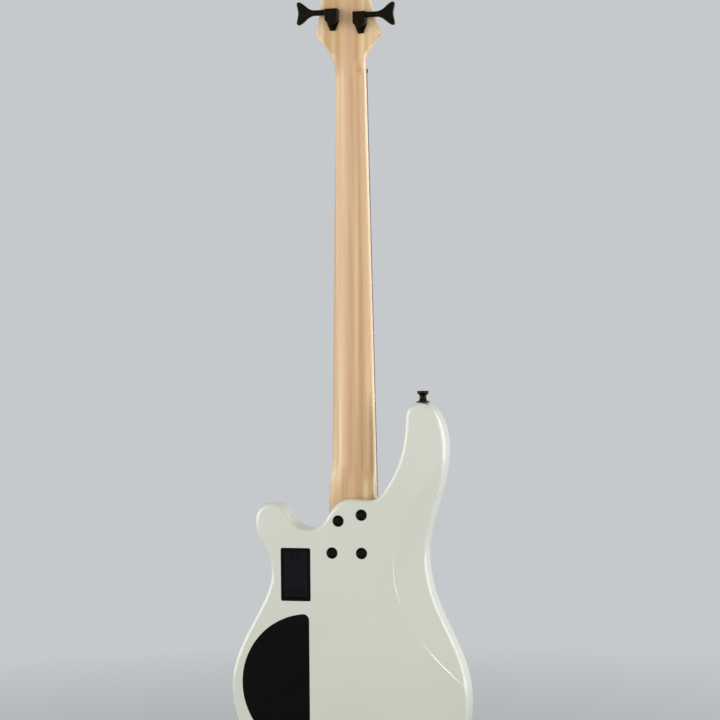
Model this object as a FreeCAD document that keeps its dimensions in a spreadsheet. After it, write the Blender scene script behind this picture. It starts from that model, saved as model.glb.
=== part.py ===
import FreeCAD, Part
import math
import os
import Sketcher
from FreeCAD import Placement, Rotation, Vector

# Four-string electric bass guitar. +Z runs up the neck, +Y out of the front, +X to the bass side.
# The origin is the centre of the tail strap button's rim. All sizes are in millimetres.

SIZES = [
    ("scale_length", 864, "nut to saddle line"),
    ("fret_count", 24, "frets on the board"),
    ("saddle_to_tail", 72, "saddle line above the tail end of the body"),
    ("clearance", 0.1, "play round fitted pieces"),
    ("running_play", 0.3, "play round pieces that turn or slide"),
    ("button_height", 13, "strap button, base to top"),
    ("button_rim", 3, "strap button, thickness of the rim"),
    ("button_radius", 7.5, "strap button, rim"),
    ("button_waist", 4.4, "strap button, waist"),
    ("button_screw", 1.9, "strap button screw, shank radius"),
    ("button_screw_length", 38, "strap button screw"),
    ("felt_thickness", 2, "felt washer under a strap button"),
    ("felt_radius", 8.5, "felt washer"),
    ("body_thickness", 42, "body, front to back"),
    ("body_edge", 5, "rounded edge of the body"),
    ("bout_flare", 53.5, "lower bout beyond the waist, each side"),
    ("treble_bout_height", 149.5, "widest place of the treble side above the tail end"),
    ("bass_bout_height", 132.5, "widest place of the bass side above the tail end"),
    ("pocket_length", 108, "end of the neck's heel to the body's edge under the neck"),
    ("cutaway_drop", 38.5, "floor of the treble cutaway below that edge"),
    ("cutaway_reach", 51, "floor of the treble cutaway from the centre line"),
    ("treble_waist_drop", 95.5, "treble waist below that edge"),
    ("bass_waist_drop", 69, "bass waist below that edge"),
    ("treble_horn_flare", 20.5, "treble horn beyond the waist"),
    ("treble_horn_drop", 28.5, "widest place of the treble horn below that edge"),
    ("treble_horn_round", 23, "treble horn tip above its widest place"),
    ("bass_horn_rise", 121.5, "bass horn tip above that edge"),
    ("bass_horn_reach", 96, "bass horn tip from the centre line"),
    ("belly_radius", 800, "hollow of the belly contour"),
    ("belly_tilt", 9, "slope of the belly contour, degrees"),
    ("belly_edge", 3, "soft edge of the belly contour"),
    ("belly_reach", 60, "start of the belly contour from the centre line"),
    ("nut_width", 40, "neck at the nut"),
    ("heel_width", 63.3, "neck at the end of the heel"),
    ("board_rise", 10, "crown of the fingerboard above the body"),
    ("board_thickness", 6, "fingerboard at its crown"),
    ("board_radius", 305, "camber of the fingerboard"),
    ("heel_depth", 20, "heel below the fingerboard"),
    ("nut_depth", 15, "neck below the fingerboard, at the nut"),
    ("shaft_depth", 17.5, "neck below the fingerboard, near the body"),
    ("heel_round", 5, "rounded back edges of the heel"),
    ("heel_blend", 46, "length over which the round neck becomes the square heel"),
    ("headstock_drop", 4, "face of the headstock below the fingerboard's underside"),
    ("headstock_thickness", 14.5, "headstock"),
    ("head_edge", 2.2, "rounded back edge of the headstock"),
    ("headstock_length", 185, "nut to the top of the headstock"),
    ("headstock_half", 42.3, "headstock shoulders from the centre line"),
    ("shoulder_rise", 47.8, "headstock shoulders above the nut"),
    ("fret_crown", 1.2, "fret height"),
    ("fret_width", 2.8, "fret crown"),
    ("dot_radius", 3.2, "position marker"),
    ("dot_depth", 1.5, "position marker inlay"),
    ("nut_length", 5, "nut along the neck"),
    ("nut_height", 2.6, "nut above the fingerboard's crown"),
    ("truss_width", 6, "truss rod channel"),
    ("truss_depth", 10, "truss rod channel"),
    ("post_e_x", 17.8, "E tuner post from the centre line"),
    ("post_e_rise", 61, "E tuner post above the nut"),
    ("post_a_x", 9, "A tuner post from the centre line"),
    ("post_a_rise", 122, "A tuner post above the nut"),
    ("post_d_x", 18.5, "D tuner post from the centre line"),
    ("post_d_rise", 126, "D tuner post above the nut"),
    ("post_g_x", 19, "G tuner post from the centre line"),
    ("post_g_rise", 66.3, "G tuner post above the nut"),
    ("post_radius", 4.8, "tuner post"),
    ("post_reach", 20, "tuner post above the headstock"),
    ("bushing_wall", 1.6, "tuner bushing"),
    ("bushing_flange", 3.4, "tuner bushing flange beyond its sleeve"),
    ("bushing_lip", 2, "tuner bushing flange thickness"),
    ("gear_radius", 5.7, "tuner gear"),
    ("gear_thickness", 4, "tuner gear"),
    ("gear_teeth", 20, "teeth of the tuner gear"),
    ("worm_radius", 2.4, "tuner worm"),
    ("housing_wall", 1.4, "tuner housing"),
    ("housing_depth", 12, "tuner housing behind the headstock"),
    ("housing_half", 8.4, "tuner housing, half its width"),
    ("retainer_height", 8.5, "string retainer above the headstock"),
    ("retainer_dip", 1.3, "strings below the retainer, at its screw"),
    ("housing_base", 2, "tuner housing base plate"),
    ("ear_drop", 11.2, "tuner screw below the post"),
    ("key_shaft", 2.5, "tuner key shaft radius"),
    ("key_start", 21, "inner end of the key from the post"),
    ("key_length", 25, "tuner key"),
    ("key_width", 30, "tuner key at its outer end"),
    ("key_thickness", 6, "tuner key"),
    ("battery_wall", 16, "wood between the neck pocket and the battery box"),
    ("battery_rim", 13.5, "wood between the battery box and the waist"),
    ("battery_drop", 24, "top of the battery box below the cutaway's floor"),
    ("box_width", 39, "battery box frame"),
    ("box_height", 67.5, "battery box frame"),
    ("box_lip", 2.5, "battery box frame, thickness of its lip"),
    ("box_corner", 2, "corners of the battery box frame"),
    ("box_margin", 2.4, "battery box frame, lip beyond the tub"),
    ("box_depth", 26, "battery box, lip to floor"),
    ("box_wall", 1.5, "battery box tub"),
    ("tray_lid", 2.5, "lid of the battery tray"),
    ("lid_groove", 2.4, "groove across the lid of the battery tray"),
    ("battery_width", 26.2, "9 V battery"),
    ("battery_length", 46, "9 V battery without its contacts"),
    ("battery_depth", 17.2, "9 V battery"),
    ("cover_rim", 14.65, "wood between the control cover and the bout"),
    ("cover_gap", 5.5, "wood between the pickups and the control cover"),
    ("cover_wood", 16.25, "wood between the battery box and the control cover"),
    ("cover_thickness", 2, "control cover"),
    ("cover_ledge", 8, "ledge under the control cover"),
    ("cover_corner", 8, "corners of the control cover"),
    ("cavity_front", 6, "wood in front of the control cavity"),
    ("ferrule_radius", 7.25, "neck screw ferrule"),
    ("ferrule_depth", 4, "neck screw ferrule"),
    ("neck_screw", 2.4, "neck screw shank radius"),
    ("neck_screw_bite", 15, "neck screw in the heel"),
    ("screw_side", 19.3, "neck screws from the centre line"),
    ("screw_upper_drop", 19.8, "upper bass neck screw below the body's edge under the neck"),
    ("screw_inner_drop", 27.6, "upper treble neck screw below that edge"),
    ("screw_inner_side", 10.9, "upper treble neck screw from the centre line"),
    ("screw_lower_drop", 68.2, "lower neck screws below that edge"),
    ("pickup_length", 89, "pickup across the strings"),
    ("pickup_width", 38, "pickup along the strings"),
    ("pickup_height", 21, "pickup"),
    ("pickup_rise", 11, "pickup above the body"),
    ("pickup_cavity", 20, "pickup cavity depth"),
    ("pickup_corner", 4, "pickup corners"),
    ("neck_pickup_rise", 149.5, "middle of the neck pickup above the saddle line"),
    ("bridge_pickup_rise", 61.5, "middle of the bridge pickup above the saddle line"),
    ("pot_radius", 8.5, "potentiometer"),
    ("pot_depth", 8, "potentiometer"),
    ("pot_bushing", 3.6, "potentiometer bushing radius"),
    ("pot_shaft", 3, "potentiometer shaft radius"),
    ("knob_radius", 9.5, "knob"),
    ("knob_height", 16, "knob"),
    ("string_spacing", 19, "strings at the bridge"),
    ("nut_spacing", 10.3, "strings at the nut"),
    ("gauge_e", 2.67, "E string"),
    ("gauge_a", 2.16, "A string"),
    ("gauge_d", 1.65, "D string"),
    ("gauge_g", 1.14, "G string"),
    ("turn_gap", 1.5, "gap between turns on a post"),
    ("action", 5, "strings above the plane of the board, at the saddles"),
    ("nut_action", 1.7, "strings above the board's crown, at the nut"),
    ("bridge_half", 41, "bridge plate, half its width"),
    ("bridge_plate", 3.5, "bridge plate thickness"),
    ("bridge_front", 22, "bridge plate ahead of the saddle line"),
    ("bridge_back", 38, "bridge rear wall behind the saddle line"),
    ("bridge_wall", 5, "bridge rear wall thickness"),
    ("bridge_wall_height", 16, "bridge rear wall"),
    ("saddle_width", 15, "saddle"),
    ("saddle_length", 15, "saddle"),
    ("saddle_travel", 6, "forward travel of a saddle"),
    ("saddle_step", 2, "each thicker string's saddle further back"),
    ("jack_radius", 6.3, "output jack barrel"),
    ("jack_length", 46, "output jack barrel"),
    ("jack_flange", 9, "output jack flange"),
    ("jack_bore", 3.25, "output jack socket"),
    ("wire_radius", 1.1, "wiring"),
    ("wire_way", 4, "holes for wiring in the body, radius"),
    ("cover_screw", 1.2, "control cover screw, shank radius"),
    ("cover_screw_length", 13, "control cover screw"),
    ("tuner_screw", 1.1, "tuner screw, shank radius"),
    ("tuner_screw_length", 11.5, "tuner screw"),
    ("plate_screw", 0.9, "truss-rod cover screw, shank radius"),
    ("plate_screw_length", 9, "truss-rod cover screw"),
    ("plate_thickness", 2, "truss-rod cover"),
    ("retainer_screw", 1.2, "string retainer screw, shank radius"),
    ("bridge_screw", 1.6, "bridge screw, shank radius"),
    ("bridge_screw_length", 26, "bridge screw"),
    ("pickup_screw", 1.3, "pickup screw, shank radius"),
    ("pickup_screw_length", 39, "pickup screw"),
    ("intonation_screw", 1.5, "intonation screw, shank radius"),
    ("grub_screw", 1.4, "saddle height screw, radius"),
    ("hinge_pin", 0.7, "pin of the battery tray, radius"),
]

doc = FreeCAD.newDocument("electric_bass")
sheet = doc.addObject("Spreadsheet::Sheet", "sizes")
for row, (alias, value, note) in enumerate(SIZES, start=1):
    sheet.set(f"A{row}", note)
    sheet.set(f"B{row}", str(value))
    sheet.setAlias(f"B{row}", alias)
doc.recompute()

NODES = []


def num(expression):
    """Value of a size or of an expression of sizes."""
    return float(sheet.evalExpression(str(expression)))


def bind(thing, **expressions):
    """Binds properties of an object to expressions of sizes."""
    for name, expression in expressions.items():
        thing.setExpression(name.replace("__", "."), str(expression))
    return thing


def at(thing, x, y, z, turn=None):
    """Puts an object at a place given by three expressions."""
    if turn is not None:
        thing.Placement = Placement(Vector(), turn)
    return bind(thing, Placement__Base__x=x, Placement__Base__y=y, Placement__Base__z=z)


def node(thing, label):
    """Names a finished sub-part."""
    thing.Label = label
    NODES.append(thing)
    return thing


AXES = {"x": Vector(1, 0, 0), "y": Vector(0, 1, 0), "z": Vector(0, 0, 1)}


def way(name):
    """Unit vector of a direction such as 'y' or '-z'."""
    return -AXES[name[1:]] if name.startswith("-") else AXES[name]


def box(name, x, y, z, width, depth, height):
    """Block whose low corner is at x, y, z."""
    thing = doc.addObject("Part::Box", name)
    bind(thing, Length=width, Width=depth, Height=height)
    return at(thing, x, y, z)


def rod(name, radius, length, x, y, z, along="y"):
    """Cylinder that starts at x, y, z and runs along a direction."""
    thing = doc.addObject("Part::Cylinder", name)
    bind(thing, Radius=radius, Height=length)
    return at(thing, x, y, z, Rotation(Vector(0, 0, 1), way(along)))


def sink(name, start, end, length, x, y, z, along="y"):
    """Cone that starts at x, y, z and runs along a direction."""
    thing = doc.addObject("Part::Cone", name)
    bind(thing, Radius1=start, Radius2=end, Height=length)
    return at(thing, x, y, z, Rotation(Vector(0, 0, 1), way(along)))


def taper(name, half_low, half_high, z_low, z_high, y_low, y_high):
    """Block between two heights whose width tapers up the neck."""
    thing = doc.addObject("Part::Wedge", name)
    bind(thing, Xmin=f"-({half_low})", Xmax=half_low, X2min=f"-({half_high})", X2max=half_high)
    bind(thing, Ymin=z_low, Ymax=z_high, Zmin=f"-({y_high})", Zmax=f"-({y_low})")
    bind(thing, Z2min=f"-({y_high})", Z2max=f"-({y_low})")
    return at(thing, 0, 0, 0, Rotation(Vector(1, 0, 0), 90))


def group(name, things):
    """Several separate objects as one compound."""
    if len(things) == 1:
        return things[0]
    thing = doc.addObject("Part::Compound", name)
    thing.Links = things
    return thing


def fuse(name, *things):
    """Objects joined to one solid."""
    thing = doc.addObject("Part::MultiFuse", name)
    thing.Shapes = list(things)
    return thing


def cut(name, base, *tools):
    """Object with tools taken out of it."""
    thing = doc.addObject("Part::Cut", name)
    thing.Base = base
    thing.Tool = group(name + "_tools", list(tools))
    return thing


def common(name, one, two):
    """Space that two objects share."""
    thing = doc.addObject("Part::Common", name)
    thing.Base = one
    thing.Tool = two
    return thing


def rounded(name, base, radius, wanted):
    """Object with the wanted edges rounded."""
    doc.recompute()
    size = num(radius)
    thing = doc.addObject("Part::Fillet", name)
    thing.Base = base
    picked = [i for i, edge in enumerate(base.Shape.Edges, start=1) if wanted(edge)]
    thing.Edges = [(i, size, size) for i in picked]
    return thing


def upright(edge):
    """True for a straight edge that runs from front to back."""
    return edge.BoundBox.YLength > 0.5 and edge.BoundBox.XLength + edge.BoundBox.ZLength < 0.1


def level(edge):
    """True for an edge that lies square to the front."""
    return edge.BoundBox.YLength < 0.1


def solid(name, shape):
    """Sub-part whose shape is computed from the sizes."""
    thing = doc.addObject("Part::Feature", name)
    thing.Shape = shape
    return thing


def copies(name, master, places):
    """Equal pieces as one group of separate solids."""
    doc.recompute()
    shapes = []
    for x, y, z in places:
        shape = master.Shape.copy()
        shape.translate(Vector(num(x), num(y), num(z)))
        shapes.append(shape)
    return solid(name, Part.makeCompound(shapes))


def sketch_in(body, role, offset):
    """Sketch on an origin plane of a body, set off along the plane's normal."""
    sketch = body.newObject("Sketcher::SketchObject", body.Name + "_sketch")
    plane = [part for part in body.Origin.OriginFeatures if part.Role == role][0]
    sketch.AttachmentSupport = [(plane, "")]
    sketch.MapMode = "FlatFace"
    return bind(sketch, AttachmentOffset__Base__z=offset)


def polygon(sketch, corners):
    """Closed straight-sided outline whose corners are bound to expressions."""
    values = [(num(u), num(v)) for u, v in corners]
    count = len(corners)
    for i in range(count):
        start = Vector(*values[i], 0)
        end = Vector(*values[(i + 1) % count], 0)
        sketch.addGeometry(Part.LineSegment(start, end))
    for i in range(count):
        sketch.addConstraint(Sketcher.Constraint("Coincident", i, 2, (i + 1) % count, 1))
    for i, (u, v) in enumerate(corners):
        for kind, axis, expression, value in (("X", -2, u, values[i][0]), ("Y", -1, v, values[i][1])):
            if abs(value) < 1e-9:
                sketch.addConstraint(Sketcher.Constraint("PointOnObject", i, 1, axis))
                continue
            index = sketch.addConstraint(Sketcher.Constraint("Distance" + kind, -1, 1, i, 1, value))
            name = f"corner{i}{kind}"
            sketch.renameConstraint(index, name)
            sketch.setExpression("Constraints." + name, str(expression))
    return sketch


def turned(name, corners, x="0", y="0", z="0", along="y"):
    """Body of revolution from corners given as radius and height along its axis."""
    body = doc.addObject("PartDesign::Body", name)
    sketch = polygon(sketch_in(body, "XY_Plane", 0), corners)
    turn = body.newObject("PartDesign::Revolution", name + "_turn")
    turn.Profile = sketch
    turn.ReferenceAxis = (sketch, ["V_Axis"])
    turn.Angle = 360
    body.Tip = turn
    return at(body, x, y, z, Rotation(Vector(0, 1, 0), way(along)))


def padded(name, curves, y_front, thickness):
    """Plate of a curved outline, given in x and z, that lies behind y_front."""
    body = doc.addObject("PartDesign::Body", name)
    sketch = sketch_in(body, "XZ_Plane", f"-({y_front})")
    for curve in curves:
        sketch.addGeometry(curve)
    pad = body.newObject("PartDesign::Pad", name + "_pad")
    pad.Profile = sketch
    bind(pad, Length=thickness)
    body.Tip = pad
    return body


def screw(name, head, sunk, shank, length, along):
    """Countersunk screw whose head is flush at its own origin, pointing along a direction."""
    corners = [
        (0, 0),
        (head, 0),
        (shank, sunk),
        (shank, f"{length} - 2*({shank})"),
        (f"({shank})*0.3", length),
        (0, length),
    ]
    return turned(name, corners, along=along)


def small_screw(name, shank, length, along):
    """Countersunk screw of ordinary proportions."""
    return screw(name, f"2*{shank}", f"1.2*{shank}", shank, length, along)


def screw_way(name, shank, length, x, y, z, along):
    """Hole for a small screw, with the seat of its head at x, y, z."""
    shaft_way = rod(name + "_way", f"{shank} + sizes.clearance", length, x, y, z, along)
    seat = sink(name + "_seat", f"2*{shank} + sizes.clearance", shank, f"1.2*{shank}", x, y, z, along)
    return [shaft_way, seat]


def smooth(stations, closed=True):
    """Tangent-continuous curves through stations of x, z, direction and fullness before and after."""
    curves = []
    count = len(stations)
    for i in range(count if closed else count - 1):
        x0, z0, turn0, _, after = stations[i]
        x1, z1, turn1, before, _ = stations[(i + 1) % count]
        start = Vector(num(x0), num(z0), 0)
        end = Vector(num(x1), num(z1), 0)
        reach = start.distanceToPoint(end)
        lead = Vector(math.cos(math.radians(turn0)), math.sin(math.radians(turn0)), 0)
        trail = Vector(math.cos(math.radians(turn1)), math.sin(math.radians(turn1)), 0)
        curve = Part.BezierCurve()
        curve.setPoles([start, start + lead * (after * reach), end - trail * (before * reach), end])
        curves.append(curve.toBSpline())
    return curves


# Shared places.
FRONT_Y = "(sizes.body_thickness/2)"
BACK_Y = "(-sizes.body_thickness/2)"
BOARD_Y = f"({FRONT_Y} + sizes.board_rise)"
GLUE_Y = f"({BOARD_Y} - sizes.board_thickness)"
FLOOR_Y = f"({GLUE_Y} - sizes.heel_depth)"
FACE_Y = f"({GLUE_Y} - sizes.headstock_drop)"
HEAD_Y = f"({FACE_Y} - sizes.headstock_thickness)"
TAIL_Z = "(sizes.felt_thickness + sizes.button_height - sizes.button_rim/2)"
SADDLE_Z = f"({TAIL_Z} + sizes.saddle_to_tail)"
NUT_Z = f"({SADDLE_Z} + sizes.scale_length)"
HEEL_Z = f"({NUT_Z} - sizes.scale_length*(1 - 2^(-(sizes.fret_count + 0.5)/12)))"
EDGE_Z = f"({HEEL_Z} + sizes.pocket_length)"
HORN_Z = f"({EDGE_Z} + sizes.bass_horn_rise)"


def half_width(z):
    """Half the neck's width at a height, as an expression."""
    share = f"({NUT_Z} - ({z}))/({NUT_Z} - {HEEL_Z})"
    return f"(sizes.nut_width + (sizes.heel_width - sizes.nut_width)*{share})/2"


# Body: outline, rounded edges, belly contour, and every pocket and hole for what it carries.
POCKET_HALF = "(sizes.heel_width/2 + sizes.clearance)"
BOX_RIGHT = f"({POCKET_HALF} + sizes.battery_wall)"
BOX_LEFT = f"({BOX_RIGHT} + sizes.box_width)"
WAIST_X = f"({BOX_LEFT} + sizes.battery_rim)"
BOUT_X = f"({WAIST_X} + sizes.bout_flare)"
CUTAWAY_Z = f"({EDGE_Z} - sizes.cutaway_drop)"
TREBLE_HORN_X = f"({WAIST_X} + sizes.treble_horn_flare)"
TREBLE_HORN_Z = f"({EDGE_Z} - sizes.treble_horn_drop)"
BASS_WAIST_Z = f"({EDGE_Z} - sizes.bass_waist_drop)"
TREBLE_BOUT_Z = f"({TAIL_Z} + sizes.treble_bout_height)"
BODY_OUTLINE = [
    (0, TAIL_Z, 180, 0.44, 0.40),
    (f"-{BOUT_X}", TREBLE_BOUT_Z, 90, 0.35, 0.37),
    (f"-{WAIST_X}", f"{EDGE_Z} - sizes.treble_waist_drop", 90, 0.25, 0.51),
    (f"-{TREBLE_HORN_X}", TREBLE_HORN_Z, 90, 0.47, 0.40),
    (f"-{TREBLE_HORN_X} + 19.5", f"{TREBLE_HORN_Z} + sizes.treble_horn_round", 0, 0.35, 0.49),
    ("-sizes.cutaway_reach", CUTAWAY_Z, 0, 0.52, 0.50),
    ("-sizes.cutaway_reach + 26", f"{CUTAWAY_Z} + 17.5", 55, 0.15, 0.35),
    (4, EDGE_Z, 0, 0.42, 0.46),
    ("sizes.bass_horn_reach - 47.4", f"{EDGE_Z} + 12", 55, 0.52, 0.38),
    ("sizes.bass_horn_reach - 19", f"{HORN_Z} - 19.6", 88, 0.38, 0.46),
    ("sizes.bass_horn_reach", HORN_Z, 0, 0.47, 0.32),
    ("sizes.bass_horn_reach + 31", f"{HORN_Z} - 56.5", -90, 0.38, 0.38),
    (WAIST_X, BASS_WAIST_Z, -90, 0.32, 0.41),
    (BOUT_X, f"{TAIL_Z} + sizes.bass_bout_height", -90, 0.40, 0.41),
]
blank = padded("body_blank", smooth(BODY_OUTLINE), FRONT_Y, "sizes.body_thickness")
doc.recompute()
blank_pad = blank.Tip
rims = [f"Edge{i}" for i, edge in enumerate(blank_pad.Shape.Edges, 1) if edge.BoundBox.YLength < 1]
edge_round = blank.newObject("PartDesign::Fillet", "body_edge_round")
edge_round.Base = (blank_pad, rims)
bind(edge_round, Radius="sizes.body_edge")
blank.Tip = edge_round
belly = doc.addObject("Part::Cylinder", "belly_contour")
bind(belly, Radius="sizes.belly_radius", Height=f"{BOUT_X}*2")
tilt = math.radians(num("sizes.belly_tilt"))
at(
    belly,
    "sizes.belly_reach + sizes.belly_radius*sin(sizes.belly_tilt)",
    f"{BACK_Y} - sizes.belly_radius*cos(sizes.belly_tilt)",
    f"{BASS_WAIST_Z} - 14",
    Rotation(Vector(0, 0, 1), Vector(math.cos(tilt), math.sin(tilt), 0)),
)
COVER_X = "(sizes.pickup_length/2 + sizes.cover_gap)"
COVER_R = f"({BOUT_X} - sizes.cover_rim - {COVER_X})"
CAVITY_Y = f"({FRONT_Y} - sizes.cavity_front)"
BOX_X = f"(({BOX_LEFT} + {BOX_RIGHT})/2)"
BOX_TOP = f"({CUTAWAY_Z} - sizes.battery_drop)"
BOX_LOW = f"({BOX_TOP} - sizes.box_height)"
COVER_Z = f"({BOX_LOW} - sizes.cover_wood - {COVER_R})"
PICKUP_Z = {
    "neck_pickup": f"({SADDLE_Z} + sizes.neck_pickup_rise)",
    "bridge_pickup": f"({SADDLE_Z} + sizes.bridge_pickup_rise)",
}
PICKUP_LOW = f"({FRONT_Y} + sizes.pickup_rise - sizes.pickup_height)"
PICKUP_FLOOR = f"({FRONT_Y} - sizes.pickup_cavity)"
PICKUP_SCREW_X = "(sizes.pickup_length/2 - 4.5)"
BOARD_BACK = f"({CAVITY_Y} - 8)"
PICKUP_LEAD_Y = f"({BOARD_BACK} - sizes.wire_radius)"
BATTERY_LEAD_Y = "-4"
BOARD_LEFT = f"({COVER_X} + sizes.cover_ledge + 30)"
BOARD_LOW = f"({COVER_Z} - 26)"
JACK_LEAD_X = f"({BOARD_LEFT} - 12)"
JACK_LEAD_Z = f"({BOARD_LOW} + 3.5)"
LEAD_X = f"({PICKUP_SCREW_X} - 10)"
NECK_SCREWS = [
    ("sizes.screw_side", BACK_Y, f"{EDGE_Z} - sizes.screw_upper_drop"),
    ("-sizes.screw_inner_side", BACK_Y, f"{EDGE_Z} - sizes.screw_inner_drop"),
    ("sizes.screw_side", BACK_Y, f"{EDGE_Z} - sizes.screw_lower_drop"),
    ("-sizes.screw_side", BACK_Y, f"{EDGE_Z} - sizes.screw_lower_drop"),
]
COVER_SCREW_R = f"({COVER_R} - 4.5)"
COVER_SCREWS = [
    (f"-({COVER_X} + {COVER_SCREW_R}*cos({angle}))", BACK_Y, f"{COVER_Z} + {COVER_SCREW_R}*sin({angle})")
    for angle in (84, 42, 0, -42, -84)
]
POT_R = f"({COVER_R} - sizes.cover_ledge - 19)"
POTS = {}
for name, angle in (("volume", 58), ("blend", 28), ("treble", -2), ("bass", -32)):
    POTS[name] = (f"-({COVER_X} + {POT_R}*cos({angle}))", f"{COVER_Z} + {POT_R}*sin({angle})")
BRIDGE_LOW = f"({SADDLE_Z} - sizes.bridge_back - sizes.bridge_wall)"
BRIDGE_Y = f"({FRONT_Y} + sizes.bridge_plate)"
BRIDGE_SCREWS = [
    ("-(sizes.bridge_half - 6)", BRIDGE_Y, f"{SADDLE_Z} + sizes.bridge_front - 5"),
    ("0", BRIDGE_Y, f"{SADDLE_Z} + sizes.bridge_front - 5"),
    ("sizes.bridge_half - 6", BRIDGE_Y, f"{SADDLE_Z} + sizes.bridge_front - 5"),
    ("-sizes.string_spacing", BRIDGE_Y, f"{SADDLE_Z} - sizes.bridge_back + 5"),
    ("sizes.string_spacing", BRIDGE_Y, f"{SADDLE_Z} - sizes.bridge_back + 5"),
]
PICKUP_TOP = f"({FRONT_Y} + sizes.pickup_rise)"
PICKUP_SCREWS = []
for place in PICKUP_Z.values():
    PICKUP_SCREWS.append((PICKUP_SCREW_X, PICKUP_TOP, place))
    PICKUP_SCREWS.append((f"-{PICKUP_SCREW_X}", PICKUP_TOP, place))

# The jack leaves the treble bout square to its outline, towards the control cavity.
jack_curve = smooth(BODY_OUTLINE)[0]
jack_share = jack_curve.parameterAtDistance(jack_curve.length() * 0.64, jack_curve.FirstParameter)
jack_point = jack_curve.value(jack_share)
jack_tangent = jack_curve.tangent(jack_share)[0]
JACK = Vector(jack_point.x, 0, jack_point.y)
JACK_OUT = Vector(-jack_tangent.y, 0, jack_tangent.x).normalize()
if JACK_OUT.x > 0:
    JACK_OUT = -JACK_OUT
JACK_TURN = Rotation(Vector(0, 1, 0), JACK_OUT)


def jack_place(thing, out):
    """Puts a turned piece on the jack's axis, its own origin a distance outside the body."""
    place = JACK + JACK_OUT * num(out)
    return at(thing, place.x, place.y, place.z, JACK_TURN)


def half_round(name, inset, corner, y, depth):
    """Plate of the control cover's half-round outline, drawn in by an inset."""
    disc = rod(name + "_disc", f"{COVER_R} - ({inset})", depth, f"-{COVER_X}", y, COVER_Z)
    half = box(
        name + "_half",
        f"-({COVER_X} + {COVER_R})",
        y,
        f"{COVER_Z} - {COVER_R}",
        f"{COVER_R} - ({inset})",
        depth,
        f"{COVER_R}*2",
    )
    joined = common(name + "_sharp", disc, half)
    edge_x = -num(f"{COVER_X} + ({inset})")
    return rounded(name, joined, corner, lambda e: upright(e) and abs(e.BoundBox.XMax - edge_x) < 0.1)


def pickup_block(name, z, grow, y, height):
    """Block of the pickup's outline, grown by some play, with round corners."""
    block = box(
        name + "_block",
        f"-(sizes.pickup_length/2 + {grow})",
        y,
        f"{z} - sizes.pickup_width/2 - {grow}",
        f"sizes.pickup_length + 2*{grow}",
        height,
        f"sizes.pickup_width + 2*{grow}",
    )
    return rounded(name, block, "sizes.pickup_corner", upright)


box_seat = box(
    "box_seat",
    f"-{BOX_LEFT} - sizes.clearance",
    BACK_Y,
    f"{BOX_LOW} - sizes.clearance",
    "sizes.box_width + 2*sizes.clearance",
    "sizes.box_lip",
    "sizes.box_height + 2*sizes.clearance",
)
hollows = [
    taper(
        "neck_pocket",
        f"{half_width(HEEL_Z)} + sizes.clearance",
        f"{half_width(HORN_Z)} + sizes.clearance",
        f"{HEEL_Z} - sizes.clearance",
        HORN_Z,
        FLOOR_Y,
        f"{FRONT_Y} + 5",
    ),
    half_round("cover_seat", "-sizes.clearance", "sizes.cover_corner", BACK_Y, "sizes.cover_thickness"),
    half_round("control_cavity", "sizes.cover_ledge", 4, BACK_Y, f"{CAVITY_Y} - {BACK_Y}"),
    rounded("box_seat_round", box_seat, "sizes.box_corner + sizes.clearance", upright),
    box(
        "battery_cavity",
        f"-{BOX_LEFT} + sizes.box_margin - sizes.clearance",
        BACK_Y,
        f"{BOX_LOW} + sizes.box_margin - sizes.clearance",
        "sizes.box_width - 2*sizes.box_margin + 2*sizes.clearance",
        "sizes.box_depth + sizes.clearance",
        "sizes.box_height - 2*sizes.box_margin + 2*sizes.clearance",
    ),
    rod(
        "battery_wire_way",
        "sizes.wire_way",
        f"{BOX_LOW} + 8 - {COVER_Z}",
        f"-{BOX_X}",
        BATTERY_LEAD_Y,
        COVER_Z,
        "z",
    ),
    rod(
        "pickup_wire_way",
        "sizes.wire_way",
        COVER_X,
        f"-{PICKUP_SCREW_X}",
        PICKUP_LEAD_Y,
        PICKUP_Z["bridge_pickup"],
        "-x",
    ),
    rod(
        "neck_wire_way",
        "sizes.wire_way",
        "sizes.neck_pickup_rise - sizes.bridge_pickup_rise",
        f"-{LEAD_X}",
        PICKUP_LEAD_Y,
        PICKUP_Z["bridge_pickup"],
        "z",
    ),
    rod(
        "tail_screw_hole",
        "sizes.button_screw + sizes.clearance",
        "sizes.button_screw_length",
        0,
        0,
        0,
        "z",
    ),
    rod(
        "horn_screw_hole",
        "sizes.button_screw + sizes.clearance",
        "sizes.button_screw_length",
        "sizes.bass_horn_reach",
        0,
        f"{HORN_Z} + sizes.felt_thickness + sizes.button_height",
        "-z",
    ),
]
for name, place in PICKUP_Z.items():
    hollows.append(pickup_block(name + "_cavity", place, "0.4", PICKUP_FLOOR, "sizes.pickup_cavity + 5"))
for i, (x, y, z) in enumerate(NECK_SCREWS):
    hollows.append(
        rod(f"ferrule_seat{i}", "sizes.ferrule_radius + sizes.clearance", "sizes.ferrule_depth", x, y, z)
    )
    hollows.append(rod(f"neck_screw_way{i}", "sizes.neck_screw + 0.3", "sizes.body_thickness", x, y, z))
for i, (x, y, z) in enumerate(COVER_SCREWS):
    hollows.append(
        rod(
            f"cover_screw_hole{i}",
            "sizes.cover_screw + sizes.clearance",
            "sizes.cover_screw_length + 1",
            x,
            y,
            z,
        )
    )
for name, (x, z) in POTS.items():
    hollows.append(
        rod(
            name + "_hole",
            "sizes.pot_bushing + sizes.clearance",
            "sizes.cavity_front + 4",
            x,
            f"{CAVITY_Y} - 2",
            z,
        )
    )
for i, (x, y, z) in enumerate(BRIDGE_SCREWS):
    hollows.append(
        rod(
            f"bridge_screw_hole{i}",
            "sizes.bridge_screw + sizes.clearance",
            "sizes.bridge_screw_length + 1",
            x,
            y,
            z,
            "-y",
        )
    )
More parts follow.
